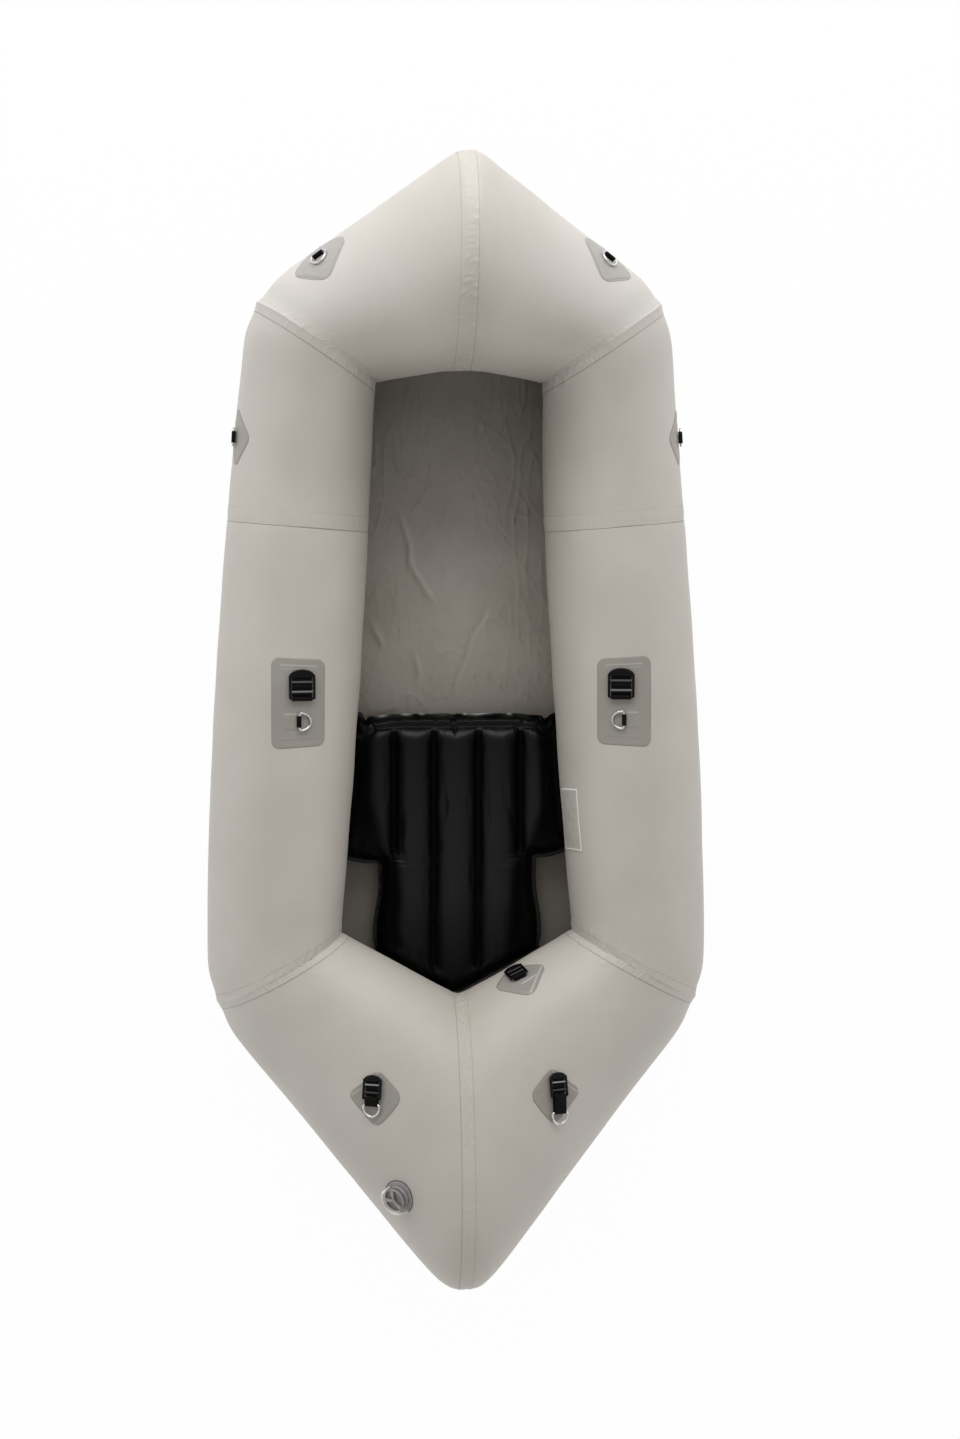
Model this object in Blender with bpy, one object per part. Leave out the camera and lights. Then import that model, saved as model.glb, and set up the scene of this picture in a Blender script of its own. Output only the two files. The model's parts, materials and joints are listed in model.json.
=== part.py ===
"""One-person packraft, in metres, +Z up, bow towards +Y.

The hull is a ring of inflated tube panels that meet at mitred, taped seams. Every
panel is described by vertical sections, each drawn from an outer point to an inner
point of the plan, and every section touches the line of the floor at its lowest
point. Fittings are placed on the skin of the panels by a share along the panel and
a lean from the top of the tube.
"""

import math

import bmesh
import bpy
import numpy as np
from mathutils import Matrix, Vector

# Hull in plan
HULL_LENGTH = 2.096
HULL_WIDTH = 0.949
BOW_CORNER_WIDTH = 0.782
COCKPIT_FRONT_SHARE = 0.305821
COCKPIT_REAR_SHARE = 0.189408
COCKPIT_FRONT_WIDTH = 0.314
COCKPIT_REAR_WIDTH = 0.443
COCKPIT_BOW_PEAK = 0.018
COCKPIT_STERN_NOTCH = 0.1130
BOW_MITRE_SKEW = 0.156
STERN_MITRE_SKEW = 0.136
SIDE_SEAM_SHARE = 0.173664
SIDE_SEAM_SKEW = 0.021
BOW_TIP_ROUNDING = 0.015
STERN_TIP_ROUNDING = 0.051
BOW_PEAK_ROUNDING = 0.003
STERN_NOTCH_ROUNDING = 0.003
CORNER_ROUNDING = 0.017
CORNER_REACH = 0.045
COCKPIT_STRAIGHT_SHARE = 0.48
SIDE_CURVE_POWER = 1.65
TIP_POWER = 3

# Hull in profile
SIDE_TUBE_HEIGHT = 0.268
BOW_TUBE_HEIGHT = 0.325
STERN_TUBE_HEIGHT = 0.335
BOW_LIFT = 0.155
STERN_LIFT = 0.065
FLAT_FRONT_SHARE = 0.182729
FLAT_REAR_SHARE = 0.161737

# Skins, seams and the gaps between pieces
TOUCH_GAP = 0.0003
SKIN_GAP = 0.0006
FLOOR_THICKNESS = 0.0012
FLOOR_CLEARANCE = 0.0006
FLOOR_LAP = 0.028
TAPE_WIDTH = 0.024
TAPE_THICKNESS = 0.0006
TAPE_RIDGE = 0.0007
PATCH_THICKNESS = 0.0009
HULL_FABRIC_THICKNESS = 0.0010
RING_STEPS = 24
TAPE_OPEN_STEPS = 2
FLOOR_COLUMNS = 2
FLOOR_END_ROWS = 11
FLOOR_FLAT_ROWS = 4

# Seat pad
SEAT_FRONT_Y = 0.012
SEAT_WING_LENGTH = 0.274
SEAT_TUCK = 0.024
SEAT_TAIL_WIDTH = 0.300
SEAT_TAIL_TUCK = 0.020
SEAT_THICKNESS = 0.064
SEAT_TAIL_THICKNESS = 0.046
SEAT_EDGE_ROUND = 0.028
SEAT_DRAW_IN = 0.004
SEAT_INNER_WELD_X = 0.0425
SEAT_OUTER_WELD_X = 0.123
SEAT_WELD_FADE = 0.030
SEAT_FLOOR_GAP = 0.0005
SEAT_WELD_DEPTH_SHARE = 0.30
SEAT_SEAM_SHARE = 0.42
SEAT_SHOULDER = 0.026

# Webbing, D rings and ladder buckles
WEBBING_THICKNESS = 0.0014
WEBBING_WIDTH = 0.025
WIDE_WEBBING_WIDTH = 0.038
RING_WIRE = 0.004
RING_SPAN = 0.036
RING_DEPTH = 0.024
RING_CORNER = 0.003
EYE_CLEARANCE = 0.0005
TAB_FOOT = 0.0085
BUCKLE_RAIL = 0.005
BUCKLE_SLOT_SPARE = 0.0012
BUCKLE_THICKNESS = 0.0040
BUCKLE_END_BAR = 0.0036
BUCKLE_EYE_SLOT = 0.0075
BUCKLE_LENGTH = 0.046
WIDE_BUCKLE_LENGTH = 0.056
BUCKLE_SLOT_SHARES = ((0.14, 0.40), (0.54, 0.70))
BUCKLE_TAB_SHARE = 0.40
STERN_STRAP_LEFT = 0.0105
STERN_STRAP_RIGHT = 0.030

# Patches welded to the tubes
BOW_DIAMOND_SIDE = 0.088
FRONT_DIAMOND_SIDE = 0.082
STERN_DIAMOND_SIDE = 0.078
DIAMOND_CORNER = 0.013
DIAMOND_PARTS = 5
PATCH_RING_SHARES = (1, 0.68, 0.34, 0)
SIDE_PATCH_WIDTH = 0.102
SIDE_PATCH_LENGTH = 0.165
SIDE_PATCH_CORNER = 0.016

# Places of the patches: share along the panel, and degrees from the tube's top
BOW_PATCH_SHARE = 0.700
BOW_PATCH_LEAN = 86.5
FRONT_PATCH_SHARE = 0.621
FRONT_PATCH_LEAN = 77.5
SIDE_PATCH_SHARE = 0.3925
SIDE_PATCH_LEAN = -8.1
STERN_PATCH_SHARE = 0.547
STERN_PATCH_LEAN = 17.6
BACK_PATCH_SHARE = 0.522
BACK_PATCH_LEAN = -57.0
VALVE_SHARE = 0.714
VALVE_LEAN = 52.4

# Where the side patch carries its buckle and its ring
SIDE_BUCKLE_AHEAD = 0.009
SIDE_BUCKLE_INBOARD = 0.005
SIDE_RING_BACK = 0.034
STERN_BUCKLE_BACK = 0.001
STERN_BUCKLE_OUT = 0.007
BOW_RING_OUT = 0.005
FRONT_RING_OUT = 0.004
BACK_BUCKLE_UP = 0.002

# Main valve, measured along its own axis from the top of its flange
FLANGE_DIAMETER = 0.065
FLANGE_THICKNESS = 0.0012
VALVE_BODY_DIAMETER = 0.038
VALVE_BODY_DEPTH = 0.030
VALVE_BORE = 0.031
VALVE_RIM_DIAMETER = 0.046
VALVE_RIM_HEIGHT = 0.007
VALVE_GUIDE_DEPTH = 0.016
VALVE_GUIDE_THICKNESS = 0.003
VALVE_GUIDE_BORE = 0.0064
VALVE_STEM_DIAMETER = 0.0050
VALVE_DISC_DIAMETER = 0.035
VALVE_DISC_THICKNESS = 0.0025
VALVE_BUTTON_DIAMETER = 0.013
VALVE_BUTTON_THICKNESS = 0.002
VALVE_TRAVEL = 0.006
VALVE_PLUG_DEPTH = 0.004
CAP_DIAMETER = 0.044
CAP_SKIRT = 0.003
CAP_GRIP_HEIGHT = 0.0045
CAP_GRIP_DIAMETER = 0.040
CAP_LOBE = 0.0022
SEAL_DIAMETER = 0.038
SEAL_WIRE = 0.0022
SPRING_DIAMETER = 0.0105
SPRING_WIRE = 0.0010
SPRING_TURNS = 4.5
SPRING_STEPS = 10
TETHER_WIDTH = 0.004
TETHER_THICKNESS = 0.0012
TETHER_CLEARANCE = 0.0003
TETHER_SWEEP = 170.0
TETHER_START = 5.0
TURN_STEPS = 20

# Seat valve, on the tail of the pad
SEAT_VALVE_STEM = 0.012
SEAT_VALVE_LENGTH = 0.018
SEAT_VALVE_BORE = 0.005
SEAT_KNOB_DIAMETER = 0.018
SEAT_KNOB_LENGTH = 0.010
SEAT_VALVE_X = 0.0

# Places along the hull, from its length
BOW_TIP_Y = HULL_LENGTH / 2
STERN_TIP_Y = -HULL_LENGTH / 2
COCKPIT_FRONT_Y = HULL_LENGTH * COCKPIT_FRONT_SHARE
COCKPIT_REAR_Y = -HULL_LENGTH * COCKPIT_REAR_SHARE
WIDEST_Y = COCKPIT_REAR_Y
SIDE_SEAM_Y = HULL_LENGTH * SIDE_SEAM_SHARE
FLAT_FRONT_Y = HULL_LENGTH * FLAT_FRONT_SHARE
FLAT_REAR_Y = -HULL_LENGTH * FLAT_REAR_SHARE
BOW_PEAK_Y = COCKPIT_FRONT_Y + COCKPIT_BOW_PEAK
STERN_NOTCH_Y = COCKPIT_REAR_Y - COCKPIT_STERN_NOTCH
BOW_CORNER_Y = COCKPIT_FRONT_Y + BOW_MITRE_SKEW
STERN_CORNER_Y = COCKPIT_REAR_Y - STERN_MITRE_SKEW
SIDE_SEAM_OUTER_Y = SIDE_SEAM_Y + SIDE_SEAM_SKEW
PANEL_MIDDLES = 5
TIP_CROWDING = 0.6
BOW_MIDDLE_Y = (BOW_TIP_Y + BOW_PEAK_Y) / 2
STERN_MIDDLE_Y = (STERN_TIP_Y + STERN_NOTCH_Y) / 2
FLOOR_TOP = FLOOR_THICKNESS + FLOOR_CLEARANCE
PATCH_TOP = SKIN_GAP + PATCH_THICKNESS

COLOURS = {
    "hull_fabric": ((0.48, 0.45, 0.42), 0.55, 0.0),
    "seam_tape": ((0.44, 0.42, 0.39), 0.60, 0.0),
    "floor_fabric": ((0.15, 0.14, 0.12), 0.60, 0.0),
    "patch_fabric": ((0.26, 0.25, 0.23), 0.50, 0.0),
    "seat_fabric": ((0.012, 0.011, 0.011), 0.45, 0.0),
    "webbing": ((0.012, 0.012, 0.012), 0.75, 0.0),
    "buckle_plastic": ((0.015, 0.015, 0.015), 0.35, 0.0),
    "ring_steel": ((0.65, 0.65, 0.66), 0.20, 1.0),
    "valve_plastic": ((0.24, 0.22, 0.22), 0.40, 0.0),
    "seal_rubber": ((0.02, 0.02, 0.02), 0.70, 0.0),
    "spring_steel": ((0.60, 0.60, 0.60), 0.30, 1.0),
    "tether_plastic": ((0.70, 0.68, 0.66), 0.40, 0.0),
}


def clear_scene():
    """Remove whatever the file opened with."""
    for item in list(bpy.data.objects):
        bpy.data.objects.remove(item, do_unlink=True)


def material(slot):
    """The material of one slot, made the first time that it is asked for."""
    found = bpy.data.materials.get(slot)
    if found:
        return found
    colour, roughness, metallic = COLOURS[slot]
    made = bpy.data.materials.new(slot)
    made.use_nodes = True
    shader = made.node_tree.nodes["Principled BSDF"]
    shader.inputs["Base Color"].default_value = (*colour, 1)
    shader.inputs["Roughness"].default_value = roughness
    shader.inputs["Metallic"].default_value = metallic
    made.diffuse_color = (*colour, 1)
    return made


def add_solid(name, points, faces, slot, matrix=None, smooth=40):
    """A closed solid from points and faces, its normals turned outwards."""
    mesh = bpy.data.meshes.new(name)
    mesh.from_pydata([tuple(point) for point in points], [], [tuple(face) for face in faces])
    shape = bmesh.new()
    shape.from_mesh(mesh)
    bmesh.ops.remove_doubles(shape, verts=shape.verts, dist=TOUCH_GAP / 1000)
    bmesh.ops.recalc_face_normals(shape, faces=shape.faces)
    shape.to_mesh(mesh)
    shape.free()
    mesh.shade_smooth()
    mesh.set_sharp_from_angle(angle=math.radians(smooth))
    solid = bpy.data.objects.new(name, mesh)
    bpy.context.collection.objects.link(solid)
    mesh.materials.append(material(slot))
    if matrix is not None:
        solid.matrix_world = matrix
    return solid


def lofted(rings, closed=False):
    """Points and faces of a skin over rings of equal count, capped unless it closes."""
    count = len(rings[0])
    points = np.vstack(rings)
    faces = []
    spans = len(rings) if closed else len(rings) - 1
    for span in range(spans):
        here = span * count
        there = (span + 1) % len(rings) * count
        for step in range(count):
            after = (step + 1) % count
            faces.append((here + step, here + after, there + after, there + step))
    if not closed:
        faces.append(tuple(range(count)))
        faces.append(tuple(range((len(rings) - 1) * count, len(rings) * count)))
    return points, faces


def walled(outer, inner, wraps=False):
    """Points and faces of a sheet between two grids, both cut along the same diagonals."""
    rows, columns = outer.shape[:2]
    grid = np.arange(rows * columns).reshape(rows, columns).tolist()
    if wraps:
        grid = [row + row[:1] for row in grid]
        rims = [grid[0], grid[-1]]
    else:
        far_side = [row[-1] for row in grid[1:-1]]
        near_side = [row[0] for row in grid[-2::-1]]
        rims = [grid[0] + far_side + grid[-1][::-1] + near_side]
    triangles = []
    for here, there in zip(grid, grid[1:]):
        for first, second, third, fourth in zip(here, here[1:], there[1:], there):
            triangles += [(first, second, third), (first, third, fourth)]
    under = rows * columns
    faces = triangles + [tuple(corner + under for corner in face) for face in triangles]
    for rim in rims:
        faces += [(first, second, second + under, first + under) for first, second in zip(rim, rim[1:])]
    return np.vstack((outer.reshape(-1, 3), inner.reshape(-1, 3))), faces


def turned(name, profile, slot, matrix, steps=TURN_STEPS):
    """A closed profile of (radius, height) points turned round the local Z axis."""
    radii = np.array([point[0] for point in profile])
    heights = np.array([point[1] for point in profile])
    rings = []
    for step in range(steps):
        turn = 2 * math.pi * step / steps
        rings.append(np.column_stack((radii * math.cos(turn), radii * math.sin(turn), heights)))
    points, faces = lofted(rings, closed=True)
    return add_solid(name, points, faces, slot, matrix)


def swept(path, frames, section, closed):
    """Rings of a section carried along a path, each laid in its own frame."""
    rings = []
    for place, (across, over) in zip(path, frames):
        rings.append(np.array([place + across * u + over * v for u, v in section]))
    return lofted(rings, closed)


def round_section(diameter, sides):
    """The corners of a round section."""
    turns = [2 * math.pi * (side + 0.5) / sides for side in range(sides)]
    return [(diameter / 2 * math.cos(turn), diameter / 2 * math.sin(turn)) for turn in turns]


def plate(name, outline, holes, thickness, slot, matrix):
    """A flat outline in local X and Z with holes, extruded evenly along local Y."""
    shape = bmesh.new()
    edges = []
    for loop in [outline] + holes:
        corners = [shape.verts.new((x, -thickness / 2, z)) for x, z in loop]
        for corner, following in zip(corners, corners[1:] + corners[:1]):
            edges.append(shape.edges.new((corner, following)))
    filled = bmesh.ops.triangle_fill(shape, use_beauty=True, edges=edges)
    faces = [item for item in filled["geom"] if isinstance(item, bmesh.types.BMFace)]
    raised = bmesh.ops.extrude_face_region(shape, geom=faces)
    moved = [item for item in raised["geom"] if isinstance(item, bmesh.types.BMVert)]
    bmesh.ops.translate(shape, verts=moved, vec=(0, thickness, 0))
    shape.verts.index_update()
    points = [vert.co.copy() for vert in shape.verts]
    all_faces = [tuple(vert.index for vert in face.verts) for face in shape.faces]
    shape.free()
    return add_solid(name, points, all_faces, slot, matrix)


# Plan and profile of the hull

def rounded_vee(x, tip, end_x, end_y, rounding):
    """Y of a V with a rounded apex at x = 0 that runs through (end_x, end_y)."""
    apex = tip + rounding
    slope = ((apex - end_y) ** TIP_POWER - rounding ** TIP_POWER) ** (1 / TIP_POWER) / end_x
    return apex - ((slope * x) ** TIP_POWER + rounding ** TIP_POWER) ** (1 / TIP_POWER)


def outer_side_x(y):
    """Half the hull's width: a curve from its widest place to the bow corner."""
    share = abs(y - WIDEST_Y) / (BOW_CORNER_Y - WIDEST_Y)
    return HULL_WIDTH / 2 - (HULL_WIDTH - BOW_CORNER_WIDTH) / 2 * share ** SIDE_CURVE_POWER


def cockpit_x(y):
    """Half the cockpit's width, which grows faster towards its rear."""
    share = max((COCKPIT_FRONT_Y - y) / (COCKPIT_FRONT_Y - COCKPIT_REAR_Y), 0)
    growth = COCKPIT_STRAIGHT_SHARE * share + (1 - COCKPIT_STRAIGHT_SHARE) * share ** 2
    return COCKPIT_FRONT_WIDTH / 2 + (COCKPIT_REAR_WIDTH - COCKPIT_FRONT_WIDTH) / 2 * growth


def blend(start, end, share):
    """A value that goes straight from start to end."""
    return start + (end - start) * share


def swell(share):
    """A share that leaves 0 and reaches 1 level."""
    return (1 - math.cos(math.pi * share)) / 2


def floor_line(y):
    """Height of the floor's underside: flat amidships, a parabola up to each end."""
    ahead = max(y - FLAT_FRONT_Y, 0) / (BOW_MIDDLE_Y - FLAT_FRONT_Y)
    behind = max(FLAT_REAR_Y - y, 0) / (FLAT_REAR_Y - STERN_MIDDLE_Y)
    return BOW_LIFT * ahead ** 2 + STERN_LIFT * behind ** 2


def floor_slope(y):
    """Slope of the floor's underside along Y."""
    ahead = max(y - FLAT_FRONT_Y, 0) / (BOW_MIDDLE_Y - FLAT_FRONT_Y) ** 2
    behind = max(FLAT_REAR_Y - y, 0) / (FLAT_REAR_Y - STERN_MIDDLE_Y) ** 2
    return 2 * (BOW_LIFT * ahead - STERN_LIFT * behind)


def bow_plan(share):
    """Outer and inner plan points of the bow panel, from the centre line to the corner."""
    outer_x = BOW_CORNER_WIDTH / 2 * share
    inner_end = cockpit_x(COCKPIT_FRONT_Y)
    inner_x = inner_end * share
    outer_y = rounded_vee(outer_x, BOW_TIP_Y, BOW_CORNER_WIDTH / 2, BOW_CORNER_Y, BOW_TIP_ROUNDING)
    inner_y = rounded_vee(inner_x, BOW_PEAK_Y, inner_end, COCKPIT_FRONT_Y, BOW_PEAK_ROUNDING)
    return (outer_x, outer_y), (inner_x, inner_y)


def side_front_plan(share):
    """Outer and inner plan points from the bow corner to the side seam."""
    outer_y = blend(BOW_CORNER_Y, SIDE_SEAM_OUTER_Y, share)
    inner_y = blend(COCKPIT_FRONT_Y, SIDE_SEAM_Y, share)
    return (outer_side_x(outer_y), outer_y), (cockpit_x(inner_y), inner_y)


def side_rear_plan(share):
    """Outer and inner plan points from the side seam to the stern corner."""
    outer_y = blend(SIDE_SEAM_OUTER_Y, STERN_CORNER_Y, share)
    inner_y = blend(SIDE_SEAM_Y, COCKPIT_REAR_Y, share)
    return (outer_side_x(outer_y), outer_y), (cockpit_x(inner_y), inner_y)


def stern_plan(share):
    """Outer and inner plan points of the stern panel, from the corner to the centre line."""
    outer_end = outer_side_x(STERN_CORNER_Y)
    inner_end = cockpit_x(COCKPIT_REAR_Y)
    outer_x = outer_end * (1 - share)
    inner_x = inner_end * (1 - share)
    outer_y = -rounded_vee(outer_x, -STERN_TIP_Y, outer_end, -STERN_CORNER_Y, STERN_TIP_ROUNDING)
    inner_y = -rounded_vee(inner_x, -STERN_NOTCH_Y, inner_end, -COCKPIT_REAR_Y, STERN_NOTCH_ROUNDING)
    return (outer_x, outer_y), (inner_x, inner_y)


def bow_height(share):
    """Height of the bow tube, fullest at the centre line."""
    return blend(BOW_TUBE_HEIGHT, SIDE_TUBE_HEIGHT, swell(share))


def side_height(share):
    """Height of the side tube, the same all along."""
    return SIDE_TUBE_HEIGHT


def stern_height(share):
    """Height of the stern tube, fullest at the centre line."""
    return blend(SIDE_TUBE_HEIGHT, STERN_TUBE_HEIGHT, swell(share))


class Section:
    """An ellipse in a vertical plane that stands on the line of the floor."""

    def __init__(self, outer, inner, height, side):
        outer = np.array(outer)
        inner = np.array(inner)
        middle = (outer + inner) / 2
        half_plan = np.linalg.norm(outer - inner) / 2
        plan = (outer - inner) / (2 * half_plan)
        half_height = height / 2
        touch_y = middle[1]
        for _ in range(6):
            tilt = math.atan(floor_slope(touch_y) * plan[1])
            touch_y = middle[1] + half_height * math.sin(tilt) * plan[1]
        reach = half_plan ** 2 - (half_height * math.sin(tilt)) ** 2
        self.half_width = math.sqrt(reach) / math.cos(tilt)
        self.half_height = half_height
        rise = floor_line(touch_y) + FLOOR_TOP + half_height * math.cos(tilt)
        self.centre = np.array((side * middle[0], middle[1], rise))
        flat = np.array((side * plan[0], plan[1], 0))
        lift = np.array((0, 0, 1))
        self.outward = flat * math.cos(tilt) + lift * math.sin(tilt)
        self.upward = lift * math.cos(tilt) - flat * math.sin(tilt)

    def point(self, angle, offset=0):
        """A point on the ellipse, or off it by an offset; 0 is outboard, a quarter turn up."""
        across = (self.half_width + offset) * math.cos(angle)
        over = (self.half_height + offset) * math.sin(angle)
        return self.centre + self.outward * across + self.upward * over


class TubePanel:
    """One panel of the tube: sections at chosen shares, joined straight."""

    def __init__(self, plan, height, side, rounded_start, rounded_end, crowding=1):
        self.plan = plan
        self.height = height
        self.side = side
        self.rounded = (rounded_start, rounded_end)
        outer_start, inner_start = plan(0)
        outer_end, inner_end = plan(1)
        self.outer_length = math.dist(outer_start, outer_end)
        self.inner_length = math.dist(inner_start, inner_end)
        edge = 2 * TOUCH_GAP / self.inner_length
        tape = TAPE_WIDTH / 2 / self.inner_length
        near = tape + CORNER_REACH / self.outer_length
        self.tape_shares = (tape, 1 - tape)
        middles = list(near + (1 - 2 * near) * np.linspace(0, 1, PANEL_MIDDLES) ** crowding)
        self.shares = [edge, tape] + middles + [1 - tape, 1 - edge]
        self.sections = [self.section(share) for share in self.shares]

    def section(self, share):
        """The section at a share of the way along, with the hull's corners taken in."""
        outer, inner = self.plan(share)
        outer = np.array(outer)
        inner = np.array(inner)
        inward = (inner - outer) / np.linalg.norm(inner - outer)
        cut = 0
        for rounded, distance in zip(self.rounded, (share, 1 - share)):
            if rounded:
                reach = distance * self.outer_length / CORNER_REACH
                cut += CORNER_ROUNDING * math.exp(-reach ** 2)
        return Section(outer + inward * cut, inner, self.height(share), self.side)

    def point(self, share, angle, offset=0):
        """A point of the straight-joined skin."""
        share = min(max(share, self.shares[0]), self.shares[-1])
        span = min(int(np.searchsorted(self.shares, share, side="right")) - 1, len(self.shares) - 2)
        part = (share - self.shares[span]) / (self.shares[span + 1] - self.shares[span])
        first = self.sections[span].point(angle, offset)
        second = self.sections[span + 1].point(angle, offset)
        return blend(first, second, part)

    def normal(self, share, angle):
        """The outward direction of the skin."""
        step = CORNER_REACH / 8 / self.outer_length
        turn = math.radians(2)
        along = self.point(share + step, angle) - self.point(share - step, angle)
        around = self.point(share, angle + turn) - self.point(share, angle - turn)
        facing = np.cross(along, around)
        facing /= np.linalg.norm(facing)
        middle = (self.point(share, angle) + self.point(share, angle + math.pi)) / 2
        if np.dot(facing, self.point(share, angle) - middle) < 0:
            facing = -facing
        return facing


class SkinPlace:
    """A place on a panel's skin with a flat grid (u, v) laid on it."""

    def __init__(self, panel, share, lean, heading):
        self.panel = panel
        self.share = share
        self.angle = math.radians(90 - lean)
        self.origin = panel.point(share, self.angle)
        self.normal = panel.normal(share, self.angle)
        step = CORNER_REACH / 4 / panel.outer_length
        turn = math.radians(3)
        along = panel.point(share + step, self.angle) - panel.point(share - step, self.angle)
        around = panel.point(share, self.angle + turn) - panel.point(share, self.angle - turn)
        along /= 2 * step
        around /= 2 * turn
        towards = np.array((heading[0], heading[1], 0))
        self.u = towards - self.normal * np.dot(towards, self.normal)
        self.u /= np.linalg.norm(self.u)
        self.v = np.cross(self.normal, self.u)
        grid = np.array(((np.dot(along, self.u), np.dot(around, self.u)),
                         (np.dot(along, self.v), np.dot(around, self.v))))
        self.to_panel = np.linalg.inv(grid)

    def locate(self, u, v, offset=0):
        """The skin's point at (u, v), raised by an offset along the skin's own normal."""
        share_step, turn = self.to_panel @ np.array((u, v))
        share = self.share + share_step
        angle = self.angle + turn
        return self.panel.point(share, angle) + self.panel.normal(share, angle) * offset

    def matrix(self, u, v, offset, heading):
        """A frame on the skin: Z off the skin, X towards a heading given in (u, v)."""
        spot = self.locate(u, v, offset)
        share_step, turn = self.to_panel @ np.array((u, v))
        off = self.panel.normal(self.share + share_step, self.angle + turn)
        towards = self.u * heading[0] + self.v * heading[1]
        towards = towards - off * np.dot(towards, off)
        towards /= np.linalg.norm(towards)
        side = np.cross(off, towards)
        rows = np.column_stack((towards, side, off, spot))
        return Matrix([tuple(row) for row in rows] + [(0, 0, 0, 1)])


def make_panels():
    """The eight panels, by name."""
    panels = {}
    for label, side in (("left", -1), ("right", 1)):
        panels["bow_tube_" + label] = TubePanel(bow_plan, bow_height, side, False, True)
        panels["side_front_tube_" + label] = TubePanel(side_front_plan, side_height, side, True, False)
        panels["side_rear_tube_" + label] = TubePanel(side_rear_plan, side_height, side, False, True)
        panels["stern_tube_" + label] = TubePanel(stern_plan, stern_height, side, True, False, TIP_CROWDING)
    return panels


def build_tube(name, panel):
    """The fabric of one panel: a tube open at both ends, where its neighbours carry on."""
    turns = [2 * math.pi * step / RING_STEPS for step in range(RING_STEPS)]
    skins = []
    for offset in (0, -HULL_FABRIC_THICKNESS):
        skins.append(np.array([[section.point(turn, offset) for turn in turns] for section in panel.sections]))
    points, faces = walled(*skins, wraps=True)
    return add_solid(name, points, faces, "hull_fabric")


def build_tape(name, before, after):
    """A tape over the seam between two panels, open under the tube where the floor lies."""
    first = before[0].tape_shares[before[1]]
    last = after[0].tape_shares[after[1]]
    seam = before[0].section(before[1])
    lowest = -RING_STEPS // 4 + TAPE_OPEN_STEPS
    highest = RING_STEPS * 3 // 4 - TAPE_OPEN_STEPS
    turns = [2 * math.pi * step / RING_STEPS for step in range(lowest, highest + 1)]
    skins = []
    for offset in (SKIN_GAP + TAPE_THICKNESS, SKIN_GAP):
        skins.append(np.array([(
            before[0].point(first, turn, offset),
            seam.point(turn, offset + TAPE_RIDGE),
            after[0].point(last, turn, offset),
        ) for turn in turns]))
    points, faces = walled(*skins)
    return add_solid(name, points, faces, "seam_tape")


def build_tapes(panels):
    """All eight seam tapes."""
    left_bow = panels["bow_tube_left"]
    left_stern = panels["stern_tube_left"]
    build_tape("bow_seam_tape", (left_bow, 0), (panels["bow_tube_right"], 0))
    build_tape("stern_seam_tape", (left_stern, 1), (panels["stern_tube_right"], 1))
    for label in ("left", "right"):
        bow = panels["bow_tube_" + label]
        front = panels["side_front_tube_" + label]
        rear = panels["side_rear_tube_" + label]
        stern = panels["stern_tube_" + label]
        build_tape("bow_corner_tape_" + label, (bow, 1), (front, 0))
        build_tape("side_seam_tape_" + label, (front, 1), (rear, 0))
        build_tape("stern_corner_tape_" + label, (rear, 1), (stern, 0))


def build_floor(panels):
    """The floor sheet: flat amidships, rising under bow and stern to the tubes' lowest line."""
    places = []
    for name in ("bow_tube_right", "side_front_tube_right", "side_rear_tube_right", "stern_tube_right"):
        places += [section.point(-math.pi / 2) for section in panels[name].sections]
    places = sorted(places, key=lambda place: place[1])
    along = [place[1] for place in places]
    across = [place[0] for place in places]
    rows = list(np.linspace(along[-1], FLAT_FRONT_Y, FLOOR_END_ROWS))
    rows += list(np.linspace(FLAT_FRONT_Y, FLAT_REAR_Y, FLOOR_FLAT_ROWS))[1:]
    rows += list(np.linspace(FLAT_REAR_Y, along[0], FLOOR_END_ROWS))[1:]
    sheets = []
    for thickness in (FLOOR_THICKNESS, 0):
        sheet = []
        for y in rows:
            half = np.interp(y, along, across) + FLOOR_LAP
            for column in range(FLOOR_COLUMNS + 1):
                x = half * (2 * column / FLOOR_COLUMNS - 1)
                sheet.append((x, y, floor_line(y) + thickness))
        sheets.append(sheet)
    points, faces = doubled_grid(sheets, len(rows), FLOOR_COLUMNS + 1)
    return add_solid("floor_sheet", points, faces, "floor_fabric")


def doubled_grid(sheets, rows, columns):
    """Points and faces of a solid between two grids of the same count."""
    points = list(sheets[0]) + list(sheets[1])
    lower = rows * columns
    faces = []
    for row in range(rows - 1):
        for column in range(columns - 1):
            corner = row * columns + column
            quad = (corner, corner + 1, corner + columns + 1, corner + columns)
            faces.append(quad)
            faces.append(tuple(lower + index for index in reversed(quad)))
    rim = list(range(columns))
    rim += [row * columns + columns - 1 for row in range(1, rows)]
    rim += list(range(lower - 2, lower - columns - 1, -1))
    rim += [row * columns for row in range(rows - 2, 0, -1)]
    for here, following in zip(rim, rim[1:] + rim[:1]):
        faces.append((here, following, lower + following, lower + here))
    return points, faces


# Seat pad

def seat_outline_half(share):
    """Half the pad's width at a share down the wings, 0 to 1, then down the tail, 1 to 2."""
    wing_rear = SEAT_FRONT_Y - SEAT_WING_LENGTH
    tail_half = SEAT_TAIL_WIDTH / 2
    if share > 1:
        return tail_half
    y = blend(SEAT_FRONT_Y, wing_rear, share)
    draw = SEAT_DRAW_IN * math.sin(math.pi * share)
    wing = cockpit_x(y) + SEAT_TUCK - draw
    left = (1 - share) * SEAT_WING_LENGTH / SEAT_SHOULDER
    if left < 1:
        return tail_half + (wing - tail_half) * math.sqrt(1 - (1 - left) ** 2)
    return wing


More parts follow.
